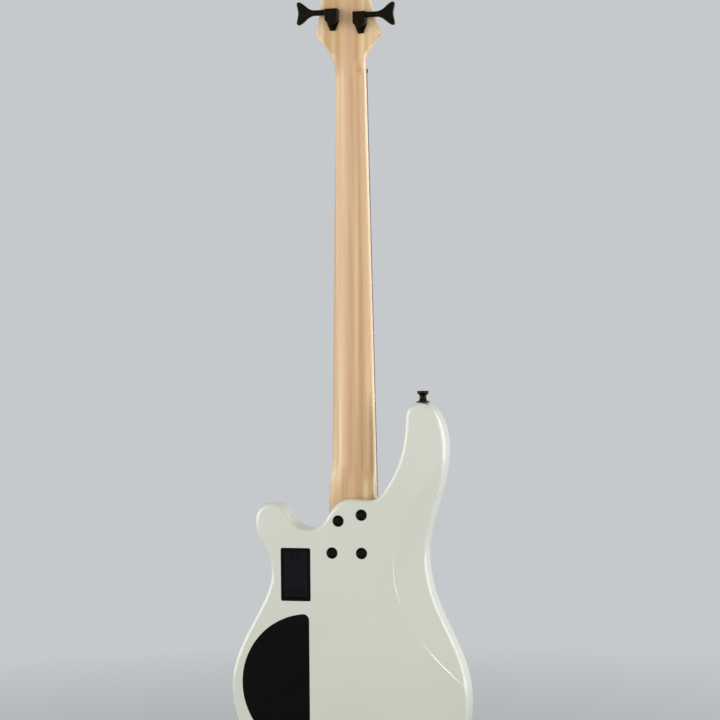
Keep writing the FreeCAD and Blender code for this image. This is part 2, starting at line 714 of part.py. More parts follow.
for i, (x, y, z) in enumerate(PICKUP_SCREWS):
    hollows.append(
        rod(
            f"pickup_screw_hole{i}",
            "sizes.pickup_screw + sizes.clearance",
            "sizes.pickup_screw_length + 2",
            x,
            y,
            z,
            "-y",
        )
    )
jack_way = turned(
    "jack_way",
    [
        (0, -60),
        ("sizes.jack_radius + sizes.clearance", -60),
        ("sizes.jack_radius + sizes.clearance", 9),
        (0, 9),
    ],
)
hollows.append(jack_place(jack_way, "0"))
lead_start = JACK - JACK_OUT * (num("sizes.jack_length") + 8)
lead_end = Vector(-num(JACK_LEAD_X), num(BATTERY_LEAD_Y), num(JACK_LEAD_Z))
lead_way = Part.makeCylinder(
    num("sizes.wire_radius") + 0.5, lead_start.distanceToPoint(lead_end), lead_start, lead_end - lead_start
)
hollows.append(solid("jack_lead_way", lead_way))
jack_seat = turned(
    "jack_seat", [(0, -1), ("sizes.jack_flange + 0.5", -1), ("sizes.jack_flange + 0.5", 9), (0, 9)]
)
hollows.append(jack_place(jack_seat, "0"))
carved = cut("body_carved", blank, belly)
doc.recompute()
scoops = [face for face in carved.Shape.Faces if face.Surface.TypeId == "Part::GeomCylinder"]
scoop = max(scoops, key=lambda face: face.Surface.Radius)
soft = rounded(
    "body_soft", carved, "sizes.belly_edge", lambda e: any(e.isSame(rim) for rim in scoop.Edges)
)
node(cut("body", soft, *hollows), "body")

# Neck: square heel, round shaft, flat headstock. The back of each section is a rounded curve whose
# squareness runs from an ellipse on the shaft to nearly square at both ends.
BLEND_Z = f"({EDGE_Z} + 4)"
SHAFT_Z = f"({BLEND_Z} + sizes.heel_blend)"


def neck_section(z, half, depth, bend):
    """Closed outline of the neck at one height: flat under the board, curved at the back."""
    top = num(GLUE_Y)
    points = []
    for i in range(25):
        angle = math.pi * i / 24
        across = math.copysign(abs(math.cos(angle)) ** bend, math.cos(angle))
        down = math.sin(angle) ** bend
        points.append(Vector(half * across, top - depth * down, z))
    back = Part.BSplineCurve()
    back.interpolate(points)
    return Part.Wire([back.toShape(), Part.makeLine(points[-1], points[0])])


def blend(low, high, share):
    """Value between two others with a soft start and end."""
    return low + (high - low) * share * share * (3 - 2 * share)


def loft(sections):
    """Smooth solid through sections."""
    return Part.makeLoft(sections, True, False)


TOP_Z = f"({NUT_Z} + sizes.headstock_length)"
SHOULDER_Z = f"({NUT_Z} + sizes.shoulder_rise)"
HEAD_OUTLINE = [
    ("sizes.nut_width/2", NUT_Z, 90, 0, 0.46),
    ("sizes.headstock_half", SHOULDER_Z, 52, 0.44, 0),
]
right_flare = smooth(HEAD_OUTLINE, closed=False)
flare_points = right_flare[0].toShape().discretize(Number=400)
ROUND = 0.9
SQUARE = 0.17
heel_sections = []
for step in range(8):
    z = num(BLEND_Z) + step / 6 * num("sizes.heel_blend")
    share = min(step / 6, 1)
    depth = blend(num("sizes.heel_depth"), num("sizes.shaft_depth"), share)
    heel_sections.append(neck_section(z, num(half_width(z)), depth, blend(SQUARE, ROUND, share)))
shaft_end = num(NUT_Z) - 21
head_sections = []
head_depth = num(f"{GLUE_Y} - {HEAD_Y}")
for step in range(8):
    z = shaft_end + 7 * step
    share = min(max((step - 1) / 5, 0), 1)
    depth = blend(num("sizes.nut_depth"), head_depth, share)
    half = min(flare_points, key=lambda p: abs(p.y - z)).x - 0.05
    if z < num(NUT_Z):
        half = num(half_width(z))
    head_sections.append(neck_section(z, half, depth, blend(ROUND, SQUARE, share)))
heel_curve = solid("heel_curve", loft(heel_sections))
shaft = solid("neck_shaft", loft([heel_sections[-1], head_sections[0]]))
head_curve = solid("head_curve", loft(head_sections))
heel_taper = taper(
    "heel_taper", half_width(HEEL_Z), half_width(BLEND_Z), HEEL_Z, BLEND_Z, FLOOR_Y, GLUE_Y
)
floor = num(FLOOR_Y)
heel_block = rounded(
    "heel_block",
    heel_taper,
    "sizes.heel_round",
    lambda e: e.BoundBox.YMax < floor + 0.1 and e.BoundBox.ZLength > 10,
)

crown = [
    ("sizes.headstock_half", SHOULDER_Z, 110, 0, 0.55),
    ("sizes.headstock_half - 16", f"{SHOULDER_Z} + 54", 100, 0.45, 0.3),
    ("sizes.headstock_half - 21", f"{TOP_Z} - 32", 95, 0.35, 0.5),
    ("-3", TOP_Z, 172, 0.4, 0.4),
    ("-sizes.headstock_half + 9", f"{TOP_Z} - 26", 265, 0.5, 0.35),
    ("-sizes.headstock_half + 7", f"{SHOULDER_Z} + 42", 270, 0.35, 0.25),
    ("-sizes.headstock_half", SHOULDER_Z, 260, 0.39, 0),
]
left_flare = smooth(
    [
        ("-sizes.headstock_half", SHOULDER_Z, 308, 0, 0.44),
        ("-sizes.nut_width/2", NUT_Z, 270, 0.46, 0),
    ],
    closed=False,
)
foot = Part.LineSegment(
    Vector(-num("sizes.nut_width/2"), num(NUT_Z), 0),
    Vector(num("sizes.nut_width/2"), num(NUT_Z), 0),
)
head_curves = right_flare + smooth(crown, closed=False) + left_flare + [foot]
head_plate = padded("head_plate", head_curves, FACE_Y, "sizes.headstock_thickness")
shoulder = num("sizes.headstock_half")
head_round = rounded(
    "head_round",
    head_plate,
    "3.5",
    lambda e: upright(e) and abs(abs(e.BoundBox.XMax) - shoulder) < 0.1,
)
back_edge = num(HEAD_Y) + 0.1
foot_edge = num(NUT_Z) + 1
head_soft = rounded(
    "head_soft",
    head_round,
    "sizes.head_edge",
    lambda e: level(e) and e.BoundBox.YMax < back_edge and e.BoundBox.ZMax > foot_edge,
)
head_foot = box("head_foot", -60, f"{HEAD_Y} - 5", f"{NUT_Z} - 5", 120, 40, 29)
head = cut("head", head_soft, head_foot)
neck_blank = fuse("neck_blank", heel_block, heel_curve, shaft, head_curve, head)

TUNERS = {
    "e": ("sizes.post_e_x", f"({NUT_Z} + sizes.post_e_rise)", 1),
    "a": ("sizes.post_a_x", f"({NUT_Z} + sizes.post_a_rise)", 1),
    "d": ("-sizes.post_d_x", f"({NUT_Z} + sizes.post_d_rise)", -1),
    "g": ("-sizes.post_g_x", f"({NUT_Z} + sizes.post_g_rise)", -1),
}
SLEEVE_R = "(sizes.post_radius + sizes.clearance + sizes.bushing_wall)"
TUNER_SCREWS = [
    (x, f"{HEAD_Y} - sizes.housing_base", f"{z} - sizes.ear_drop")
    for x, z, _ in TUNERS.values()
]
RETAINER_X = "-2"
RETAINER_Z = f"({NUT_Z} + 53)"
TRUSS_LOW = f"({HEEL_Z} + 25)"
PLATE_Y = f"({FACE_Y} + sizes.plate_thickness)"
PLATE_Z = f"({NUT_Z} + sizes.nut_length + 10)"
COVER_HOLD = [
    ("-7.5", PLATE_Y, f"{PLATE_Z} + 3.5"),
    ("7.5", PLATE_Y, f"{PLATE_Z} + 3.5"),
    ("0", PLATE_Y, f"{PLATE_Z} + 21.5"),
]
ramp = rod("head_ramp", 10, 120, -60, f"{FACE_Y} + 10", f"{NUT_Z} + sizes.nut_length + 9", "x")
ramp_top = box("head_ramp_top", -60, FACE_Y, f"{NUT_Z} + sizes.nut_length + 9", 120, 20, 40)
neck_hollows = [
    ramp,
    ramp_top,
    box(
        "truss_channel",
        "-sizes.truss_width/2",
        f"{GLUE_Y} - sizes.truss_depth",
        TRUSS_LOW,
        "sizes.truss_width",
        "sizes.truss_depth + 1",
        f"{NUT_Z} + 26 - {TRUSS_LOW}",
    ),
]
for i, (x, y, z) in enumerate(NECK_SCREWS):
    neck_hollows.append(
        rod(
            f"heel_screw_hole{i}",
            "sizes.neck_screw + sizes.clearance",
            "sizes.neck_screw_bite + 1",
            x,
            FLOOR_Y,
            z,
        )
    )
for name, (x, z, side) in TUNERS.items():
    neck_hollows.append(
        rod(
            f"bushing_hole_{name}",
            f"{SLEEVE_R} + sizes.clearance",
            "sizes.headstock_thickness + 20",
            x,
            f"{HEAD_Y} - 10",
            z,
        )
    )
for i, (x, y, z) in enumerate(TUNER_SCREWS):
    neck_hollows.append(
        rod(
            f"tuner_screw_hole{i}",
            "sizes.tuner_screw + sizes.clearance",
            "sizes.tuner_screw_length",
            x,
            y,
            z,
        )
    )
neck_hollows.append(
    rod(
        "retainer_screw_hole",
        "sizes.retainer_screw + sizes.clearance",
        12,
        RETAINER_X,
        f"{FACE_Y} + 1",
        RETAINER_Z,
        "-y",
    )
)
for i, (x, y, z) in enumerate(COVER_HOLD):
    neck_hollows.append(
        rod(
            f"truss_screw_hole{i}",
            "sizes.plate_screw + sizes.clearance",
            "sizes.plate_screw_length",
            x,
            y,
            z,
            "-y",
        )
    )
node(cut("neck", neck_blank, *neck_hollows), "neck")

# Truss rod in its channel, with a round nut that a key reaches from the headstock.
rod_bar = box(
    "truss_bar",
    "-sizes.truss_width/2 + sizes.clearance",
    f"{GLUE_Y} - sizes.truss_depth + sizes.clearance",
    f"{TRUSS_LOW} + 1",
    "sizes.truss_width - 2*sizes.clearance",
    "sizes.truss_depth - 1",
    f"{NUT_Z} - {TRUSS_LOW}",
)
rod_nut = rod("truss_nut", 2.8, 14, 0, f"{GLUE_Y} - sizes.truss_depth + 3.1", f"{NUT_Z} + 0.5", "z")
rod_socket = rod("truss_socket", 1.6, 10, 0, f"{GLUE_Y} - sizes.truss_depth + 3.1", f"{NUT_Z} + 6", "z")
node(cut("truss_rod", fuse("truss_solid", rod_bar, rod_nut), rod_socket), "truss_rod")

# Fingerboard with its camber, position dots let into it, and crowned frets on top.
board_block = taper(
    "board_block", half_width(HEEL_Z), "sizes.nut_width/2", HEEL_Z, NUT_Z, GLUE_Y, f"{BOARD_Y} + 1"
)
camber = rod(
    "board_camber",
    "sizes.board_radius",
    f"{NUT_Z} - {HEEL_Z}",
    0,
    f"{BOARD_Y} - sizes.board_radius",
    HEEL_Z,
    "z",
)
board_solid = common("board_solid", board_block, camber)


def fret_z(count):
    """Height of a fret, or of a place between two frets, as an expression."""
    return f"({NUT_Z} - sizes.scale_length*(1 - 2^(-({count})/12)))"


DOTS = [("0", f"{BOARD_Y} + 0.5", fret_z(place - 0.5)) for place in (3, 5, 7, 9, 15, 17, 19, 21)]
for place in (12, 24):
    DOTS.append(("-11", f"{BOARD_Y} + 0.5", fret_z(place - 0.5)))
    DOTS.append(("11", f"{BOARD_Y} + 0.5", fret_z(place - 0.5)))
dot_holes = []
for i, (x, y, z) in enumerate(DOTS):
    dot_holes.append(rod(f"dot_hole{i}", "sizes.dot_radius", "sizes.dot_depth + 0.5", x, y, z, "-y"))
node(cut("fingerboard", board_solid, *dot_holes), "fingerboard")
dots = group(
    "dots",
    [
        rod(f"dot{i}", "sizes.dot_radius", "sizes.dot_depth + 0.5", x, y, z, "-y")
        for i, (x, y, z) in enumerate(DOTS)
    ],
)
camber_two = rod(
    "dot_camber",
    "sizes.board_radius",
    f"{NUT_Z} - {HEEL_Z}",
    0,
    f"{BOARD_Y} - sizes.board_radius",
    HEEL_Z,
    "z",
)
node(common("position_markers", dots, camber_two), "position_markers")


def fret(count):
    """Crowned wire, bent to the camber of the board and trimmed at its edges."""
    radius = num("sizes.board_radius")
    axis_y = num(BOARD_Y) - radius
    z = num(fret_z(count))
    half = num("sizes.fret_width/2")
    crown_height = num("sizes.fret_crown")
    low = Vector(0, axis_y + radius, z - half)
    high = Vector(0, axis_y + radius, z + half)
    top = Vector(0, axis_y + radius + crown_height, z)
    profile = Part.Wire([Part.Arc(low, top, high).toShape(), Part.makeLine(high, low)])
    reach = math.degrees(math.asin((num(half_width(z)) - 0.4) / radius))
    profile.rotate(Vector(0, axis_y, 0), Vector(0, 0, 1), reach)
    return Part.Face(profile).revolve(Vector(0, axis_y, 0), Vector(0, 0, -1), 2 * reach)


frets = [fret(count) for count in range(1, int(num("sizes.fret_count")) + 1)]
node(solid("frets", Part.makeCompound(frets)), "frets")

# Nut with a slot for each string.
STRINGS = {"e": 1.5, "a": 0.5, "d": -0.5, "g": -1.5}
NUT_STRING_Y = f"({BOARD_Y} + sizes.nut_action)"
nut_block = box(
    "nut_block",
    "-sizes.nut_width/2",
    GLUE_Y,
    NUT_Z,
    "sizes.nut_width",
    "sizes.board_thickness + sizes.nut_height",
    "sizes.nut_length",
)
nut_slots = []
for name, place in STRINGS.items():
    radius = f"(sizes.gauge_{name}/2 + 0.2)"
    centre = f"({NUT_STRING_Y} + sizes.gauge_{name}/2)"
    nut_slots.append(
        rod(
            f"nut_slot_{name}",
            radius,
            "sizes.nut_length + 4",
            f"sizes.nut_spacing*({place})",
            centre,
            f"{NUT_Z} - 2",
            "z",
        )
    )
    nut_slots.append(
        box(
            f"nut_slot_top_{name}",
            f"sizes.nut_spacing*({place}) - {radius}",
            centre,
            f"{NUT_Z} - 2",
            f"2*{radius}",
            8,
            "sizes.nut_length + 4",
        )
    )
node(cut("nut", nut_block, *nut_slots), "nut")

# Tuning machines: housing on the back, worm shaft with its key, post with its gear, bushing in front.
WORM_RISE = "(sizes.gear_radius + sizes.worm_radius + sizes.running_play)"
WORM_Y = f"({HEAD_Y} - sizes.housing_depth/2)"
DRUM_R = "(sizes.gear_radius + sizes.running_play + sizes.housing_wall)"
GEAR_LOW = f"({WORM_Y} - sizes.gear_thickness/2)"
POST_TOP = f"({FACE_Y} + sizes.post_reach)"
KEY_PROFILE = [
    (0, -3.4, 0, 0, 0.45),
    ("sizes.key_length - 4", "-sizes.key_width/2 + 0.4", -22, 0.35, 0.4),
    ("sizes.key_length", "-sizes.key_width/2 + 3.2", 96, 0.5, 0.3),
    ("sizes.key_length - 2", 0, 90, 0.3, 0.3),
    ("sizes.key_length", "sizes.key_width/2 - 3.2", 84, 0.3, 0.5),
    ("sizes.key_length - 4", "sizes.key_width/2 - 0.4", 202, 0.4, 0.35),
    (0, 3.4, 180, 0.45, 0),
]


def gear(x, z):
    """Toothed wheel on a post's axis."""
    count = int(num("sizes.gear_teeth"))
    tip = num("sizes.gear_radius")
    points = []
    for i in range(count):
        for share, radius in ((-0.3, tip - 1.2), (-0.15, tip), (0.15, tip), (0.3, tip - 1.2)):
            angle = 2 * math.pi * (i + share) / count
            points.append(
                Vector(
                    num(x) + radius * math.cos(angle), num(GEAR_LOW), num(z) + radius * math.sin(angle)
                )
            )
    outline = Part.Face(Part.makePolygon(points + [points[0]]))
    return solid("tuner_gear", outline.extrude(Vector(0, num("sizes.gear_thickness"), 0)))


def shield(name, corners, depth):
    """Plate on the back of the headstock with an outline of corners."""
    body = doc.addObject("PartDesign::Body", name)
    sketch = sketch_in(body, "XZ_Plane", f"-({HEAD_Y})")
    pad = body.newObject("PartDesign::Pad", name + "_pad")
    pad.Profile = polygon(sketch, corners)
    bind(pad, Length=depth)
    body.Tip = pad
    return body


def tuner(name, x, z, side):
    """One tuning machine whose key points to the bass side for side 1 and to the treble side for -1."""
    worm_z = f"({z} + {WORM_RISE})"
    out = "x" if side > 0 else "-x"
    top = f"{worm_z} + sizes.worm_radius + sizes.running_play + sizes.housing_wall"
    shoulder_z = f"{z} + sizes.housing_half - sqrt(2)*{DRUM_R}"
    point_z = f"{z} + 2 - sqrt(2)*{DRUM_R}"
    ear_z = f"{z} - sizes.ear_drop - 3.2"
    left = f"{x} - sizes.housing_half"
    right = f"{x} + sizes.housing_half"
    cap = shield(
        f"housing_cap_{name}",
        [
            (left, top),
            (left, shoulder_z),
            (f"{x} - 2", point_z),
            (f"{x} + 2", point_z),
            (right, shoulder_z),
            (right, top),
        ],
        "sizes.housing_depth",
    )
    behind = num(f"{HEAD_Y} - sizes.housing_depth")
    cap_soft = rounded(
        f"housing_soft_{name}", cap, "sizes.housing_wall*0.8", lambda e: e.BoundBox.YMax < behind + 0.1
    )
    ear = shield(
        f"housing_base_{name}",
        [
            (left, top),
            (left, shoulder_z),
            (f"{x} - 3.4", ear_z),
            (f"{x} + 3.4", ear_z),
            (right, shoulder_z),
            (right, top),
        ],
        "sizes.housing_base",
    )
    housing = fuse(f"housing_solid_{name}", cap_soft, ear)
    gear_space = rod(
        f"gear_space_{name}",
        "sizes.gear_radius + sizes.running_play",
        "sizes.gear_thickness + 2*sizes.running_play",
        x,
        f"{GEAR_LOW} - sizes.running_play",
        z,
    )
    post_way = rod(
        f"post_way_{name}", "sizes.post_radius + sizes.clearance", "sizes.housing_depth", x, WORM_Y, z
    )
    worm_start = f"{x} - ({side})*(sizes.housing_half - sizes.housing_wall)"
    worm_way = rod(
        f"worm_way_{name}",
        "sizes.worm_radius + sizes.running_play",
        "2*sizes.housing_half",
        worm_start,
        WORM_Y,
        worm_z,
        out,
    )
    ear_way = rod(
        f"ear_way_{name}",
        "sizes.tuner_screw + sizes.clearance",
        6,
        x,
        f"{HEAD_Y} - 4",
        f"{z} - sizes.ear_drop",
    )
    node(
        cut(f"tuner_housing_{name}", housing, gear_space, post_way, worm_way, ear_way),
        f"tuner_housing_{name}",
    )

    curves = []
    for u, v, direction, before, after in KEY_PROFILE:
        turned_direction = direction if side > 0 else 180 - direction
        curves.append(
            (
                f"{x} + ({side})*(sizes.key_start + ({u}))",
                f"{worm_z} + ({v})",
                turned_direction,
                before,
                after,
            )
        )
    outline = smooth(curves, closed=False)
    outline.append(Part.LineSegment(outline[-1].EndPoint, outline[0].StartPoint))
    paddle = padded(
        f"key_paddle_{name}", outline, f"{WORM_Y} + sizes.key_thickness/2", "sizes.key_thickness"
    )
    paddle_soft = rounded(
        f"key_soft_{name}", paddle, "1.8", lambda e: level(e) and e.BoundBox.XLength > 1
    )
    worm_length = "2*sizes.housing_half - sizes.housing_wall - 2"
    worm = rod(
        f"worm_{name}",
        "sizes.worm_radius",
        worm_length,
        f"{worm_start} + ({side})*sizes.running_play",
        WORM_Y,
        worm_z,
        out,
    )
    shaft_length = "sizes.key_start + 4"
    key_shaft = rod(f"key_shaft_{name}", "sizes.key_shaft", shaft_length, x, WORM_Y, worm_z, out)
    collar_start = f"{x} + ({side})*(sizes.housing_half + sizes.running_play)"
    collar_length = "sizes.key_start - sizes.housing_half + 1.5"
    collar = rod(
        f"key_collar_{name}", "sizes.key_shaft + 1.2", collar_length, collar_start, WORM_Y, worm_z, out
    )
    node(fuse(f"tuner_key_{name}", worm, key_shaft, collar, paddle_soft), f"tuner_key_{name}")

    post = turned(
        f"post_solid_{name}",
        [
            (0, GEAR_LOW),
            ("sizes.post_radius", GEAR_LOW),
            ("sizes.post_radius", f"{POST_TOP} - 5"),
            ("sizes.post_radius + 0.9", f"{POST_TOP} - 3"),
            ("sizes.post_radius + 0.9", f"{POST_TOP} - 0.7"),
            ("sizes.post_radius + 0.2", POST_TOP),
            (0, POST_TOP),
        ],
        x,
        0,
        z,
    )
    slot = box(f"post_slot_{name}", f"{x} - 8", f"{POST_TOP} - 6", f"{z} - 1.5", 16, 8, 3)
    post_hole = rod(f"post_hole_{name}", 1.5, 14, x, f"{POST_TOP} - 12", z)
    node(
        cut(f"tuner_post_{name}", fuse(f"post_gear_{name}", post, gear(x, z)), slot, post_hole),
        f"tuner_post_{name}",
    )


for name, (x, z, side) in TUNERS.items():
    tuner(name, x, z, side)
BORE_R = "(sizes.post_radius + sizes.clearance)"
bushing = turned(
    "bushing",
    [
        (BORE_R, f"{FACE_Y} - 10"),
        (SLEEVE_R, f"{FACE_Y} - 10"),
        (SLEEVE_R, FACE_Y),
        (f"{SLEEVE_R} + sizes.bushing_flange", FACE_Y),
        (f"{SLEEVE_R} + sizes.bushing_flange", f"{FACE_Y} + sizes.bushing_lip/2"),
        (f"{SLEEVE_R} + sizes.bushing_flange - 1", f"{FACE_Y} + sizes.bushing_lip"),
        (BORE_R, f"{FACE_Y} + sizes.bushing_lip"),
    ],
)
node(copies("tuner_bushings", bushing, [(x, 0, z) for x, z, _ in TUNERS.values()]), "tuner_bushings")
tuner_screw = turned(
    "tuner_screw",
    [
        (0, -1.5),
        ("sizes.tuner_screw + 0.4", -1.5),
        ("2*sizes.tuner_screw", -0.7),
        ("2*sizes.tuner_screw", 0),
        ("sizes.tuner_screw", 0),
        ("sizes.tuner_screw", "sizes.tuner_screw_length - 2"),
        ("sizes.tuner_screw/2", "sizes.tuner_screw_length - 0.2"),
        (0, "sizes.tuner_screw_length - 0.2"),
    ],
)

# Truss-rod cover and string retainer on the face of the headstock.
cover_body = doc.addObject("PartDesign::Body", "truss_cover_plate")
cover_sketch = sketch_in(cover_body, "XZ_Plane", f"-{PLATE_Y}")
polygon(
    cover_sketch,
    [
        ("-11", PLATE_Z),
        ("11", PLATE_Z),
        ("11", f"{PLATE_Z} + 7"),
        ("4", f"{PLATE_Z} + 25"),
        ("-4", f"{PLATE_Z} + 25"),
        ("-11", f"{PLATE_Z} + 7"),
    ],
)
cover_pad = cover_body.newObject("PartDesign::Pad", "truss_cover_pad")
cover_pad.Profile = cover_sketch
bind(cover_pad, Length="sizes.plate_thickness")
cover_body.Tip = cover_pad
cover_round = rounded("truss_cover_round", cover_body, "2.5", upright)
cover_holes = []
for i, (x, y, z) in enumerate(COVER_HOLD):
    cover_holes += screw_way(
        f"truss_cover{i}", "sizes.plate_screw", "sizes.plate_screw_length", x, y, z, "-y"
    )
node(cut("truss_rod_cover", cover_round, *cover_holes), "truss_rod_cover")
RETAINER_Y = f"({FACE_Y} + sizes.retainer_height)"
retainer = turned(
    "string_retainer",
    [
        ("sizes.retainer_screw + sizes.clearance", FACE_Y),
        (2.6, FACE_Y),
        (2.6, RETAINER_Y),
        (10, RETAINER_Y),
        (10, f"{RETAINER_Y} + 1.6"),
        (8.6, f"{RETAINER_Y} + 3"),
        ("2*sizes.retainer_screw + sizes.clearance", f"{RETAINER_Y} + 3"),
        ("sizes.retainer_screw + sizes.clearance", f"{RETAINER_Y} + 3 - 1.2*sizes.retainer_screw"),
    ],
    RETAINER_X,
    0,
    RETAINER_Z,
)
node(retainer, "string_retainer")
plate_screw = small_screw("truss_cover_screw", "sizes.plate_screw", "sizes.plate_screw_length", "-y")
retainer_screw = small_screw(
    "retainer_screw_blank", "sizes.retainer_screw", "sizes.retainer_height + 13", "-y"
)
doc.recompute()
small = []
for master, places in (
    (tuner_screw, TUNER_SCREWS),
    (plate_screw, COVER_HOLD),
    (retainer_screw, [(RETAINER_X, f"{RETAINER_Y} + 3", RETAINER_Z)]),
):
    for x, y, z in places:
        small.append(master.Shape.translated(Vector(num(x), num(y), num(z))))
node(solid("headstock_screws", Part.makeCompound(small)), "headstock_screws")

# Bridge: plate with a rear wall, four saddles that slide on it, and their screws.
BRIDGE_TOP = f"({SADDLE_Z} + sizes.bridge_front)"
SADDLE_LOW = f"({BRIDGE_Y} + 0.5)"
BALL_Y = f"({FRONT_Y} + 11.6)"
INTONATION_Y = f"({BRIDGE_Y} + 2.7)"
STRING_Y = f"({BOARD_Y} + sizes.action)"
SADDLE_AT = {}
for count, name in enumerate(("g", "d", "a", "e")):
    SADDLE_AT[name] = f"({SADDLE_Z} - {count}*sizes.saddle_step)"
bridge_solid = fuse(
    "bridge_solid",
    box(
        "bridge_base",
        "-sizes.bridge_half",
        FRONT_Y,
        BRIDGE_LOW,
        "2*sizes.bridge_half",
        "sizes.bridge_plate",
        f"{BRIDGE_TOP} - {BRIDGE_LOW}",
    ),
    box(
        "bridge_rear",
        "-sizes.bridge_half",
        FRONT_Y,
        BRIDGE_LOW,
        "2*sizes.bridge_half",
        "sizes.bridge_wall_height",
        "sizes.bridge_wall",
    ),
    box(
        "bridge_left",
        "-sizes.bridge_half",
        FRONT_Y,
        BRIDGE_LOW,
        3,
        "sizes.bridge_wall_height - 5",
        f"{BRIDGE_TOP} - {BRIDGE_LOW} - 12",
    ),
    box(
        "bridge_right",
        "sizes.bridge_half - 3",
        FRONT_Y,
        BRIDGE_LOW,
        3,
        "sizes.bridge_wall_height - 5",
        f"{BRIDGE_TOP} - {BRIDGE_LOW} - 12",
    ),
)
bridge_holes = []
for name, place in STRINGS.items():
    x = f"sizes.string_spacing*({place})"
    radius = f"(sizes.gauge_{name}/2 + 0.4)"
    bridge_holes.append(
        rod(f"ball_way_{name}", radius, "sizes.bridge_wall + 2", x, BALL_Y, f"{BRIDGE_LOW} - 1", "z")
    )
    bridge_holes.append(
        box(
            f"ball_slot_{name}",
            f"{x} - {radius}",
            BALL_Y,
            f"{BRIDGE_LOW} - 1",
            f"2*{radius}",
            12,
            "sizes.bridge_wall + 2",
        )
    )
    bridge_holes.append(
        rod(
            f"intonation_way_{name}",
            "sizes.intonation_screw + sizes.clearance",
            "sizes.bridge_wall + 2",
            x,
            INTONATION_Y,
            f"{BRIDGE_LOW} - 1",
            "z",
        )
    )
for i, (x, y, z) in enumerate(BRIDGE_SCREWS):
    bridge_holes += screw_way(
        f"bridge{i}", "sizes.bridge_screw", "sizes.bridge_screw_length", x, y, z, "-y"
    )
node(cut("bridge_plate", bridge_solid, *bridge_holes), "bridge_plate")
bridge_screw = small_screw("bridge_screw_blank", "sizes.bridge_screw", "sizes.bridge_screw_length", "-y")
node(copies("bridge_screws", bridge_screw, BRIDGE_SCREWS), "bridge_screws")
INTONATION_LENGTH = "(sizes.bridge_wall + sizes.bridge_back + 3)"
intonation = turned(
    "intonation_blank",
    [
        (0, -2),
        ("sizes.intonation_screw + 0.9", -2),
        ("sizes.intonation_screw + 0.9", 0),
        ("sizes.intonation_screw", 0),
        ("sizes.intonation_screw", f"{INTONATION_LENGTH} - 1"),
        (0, INTONATION_LENGTH),
    ],
    along="z",
)
intonation_places = [
    (f"sizes.string_spacing*({place})", INTONATION_Y, BRIDGE_LOW)
    for place in STRINGS.values()
]
node(copies("intonation_screws", intonation, intonation_places), "intonation_screws")


def saddle(name, place):
    """Saddle with a string groove, and the two grub screws that it stands on."""
    x = f"(sizes.string_spacing*({place}))"
    z = SADDLE_AT[name]
    crest = f"({STRING_Y} + sizes.gauge_{name}/2)"
    body = doc.addObject("PartDesign::Body", f"saddle_block_{name}")
    sketch = sketch_in(body, "YZ_Plane", f"{x} - sizes.saddle_width/2")
    corners = [
        (SADDLE_LOW, f"{z} - sizes.saddle_length/2"),
        (f"{crest} - 3", f"{z} - sizes.saddle_length/2"),
        (crest, f"{z} - 1.5"),
        (crest, f"{z} + 1.5"),
        (f"{crest} - 3", f"{z} + sizes.saddle_length/2"),
        (SADDLE_LOW, f"{z} + sizes.saddle_length/2"),
    ]
    pad = body.newObject("PartDesign::Pad", f"saddle_pad_{name}")
    pad.Profile = polygon(sketch, corners)
    bind(pad, Length="sizes.saddle_width")
    body.Tip = pad
    groove = rod(
        f"saddle_groove_{name}",
        f"sizes.gauge_{name}/2 + sizes.running_play",
        30,
        x,
        crest,
        f"{z} - 15",
        "z",
    )
    thread = rod(
        f"saddle_thread_{name}",
        "sizes.intonation_screw + sizes.running_play",
        30,
        x,
        INTONATION_Y,
        f"{z} - 15",
        "z",
    )
    seats = []
    grubs = []
    for end in (-1, 1):
        grub_x = f"{x} + ({end})*(sizes.saddle_width/2 - 2.6)"
        seats.append(
            rod(
                f"grub_way_{name}{end + 1}",
                "sizes.grub_screw + sizes.clearance",
                30,
                grub_x,
                f"{SADDLE_LOW} - 1",
                z,
            )
        )
        grub_y = f"{BRIDGE_Y} + sizes.clearance"
        grub_length = f"{crest} - {BRIDGE_Y} - 2"
        grubs.append(rod(f"grub_{name}{end + 1}", "sizes.grub_screw", grub_length, grub_x, grub_y, z))
    node(cut(f"saddle_{name}", body, groove, thread, *seats), f"saddle_{name}")
    node(group(f"saddle_screws_{name}", grubs), f"saddle_screws_{name}")


for name, place in STRINGS.items():
    saddle(name, place)

# Strings: from the ball behind the bridge over saddle and nut to turns on the post.


def arc(start, corner, end):
    """Round bend between two equal tangents that meet at a corner."""
    middle = (start + end) * 0.5
    chord = start.distanceToPoint(middle)
    height = corner.distanceToPoint(middle)
    tangent = start.distanceToPoint(corner)
    radius = tangent * chord / height
    rise = radius - math.sqrt(radius * radius - chord * chord)
    top = middle + (corner - middle) * (rise / height)
    return Part.Arc(start, top, end).toShape()


def biarc(start, lead, end, trail):
    """Two tangent bends from one place and direction to another."""
    span = end - start
    lean = span.dot(lead + trail)
    turn = 2 * (1 - lead.dot(trail))
    reach = (-lean + math.sqrt(lean * lean + turn * span.dot(span))) / turn
    first = start + lead * reach
    second = end - trail * reach
    joint = (first + second) * 0.5
    return [arc(start, first, joint), arc(joint, second, end)]


def route(points, bend):
    """Straight runs through points with a round bend of a tangent length at each inner point."""
    edges = []
    here = points[0]
    for before, corner, after in zip(points, points[1:], points[2:]):
        enter = corner + (before - corner).normalize() * bend
        leave = corner + (after - corner).normalize() * bend
        edges.append(Part.makeLine(here, enter))
        edges.append(arc(enter, corner, leave))
        here = leave
    edges.append(Part.makeLine(here, points[-1]))
    return edges


def tube(edges, radius):
    """Round wire of a radius along a route."""
    path = Part.Wire(edges)
    first = edges[0]
    start = first.valueAt(first.FirstParameter)
    ring = Part.Wire(Part.makeCircle(radius, start, first.tangentAt(first.FirstParameter)))
    return path.makePipeShell([ring], True, False)


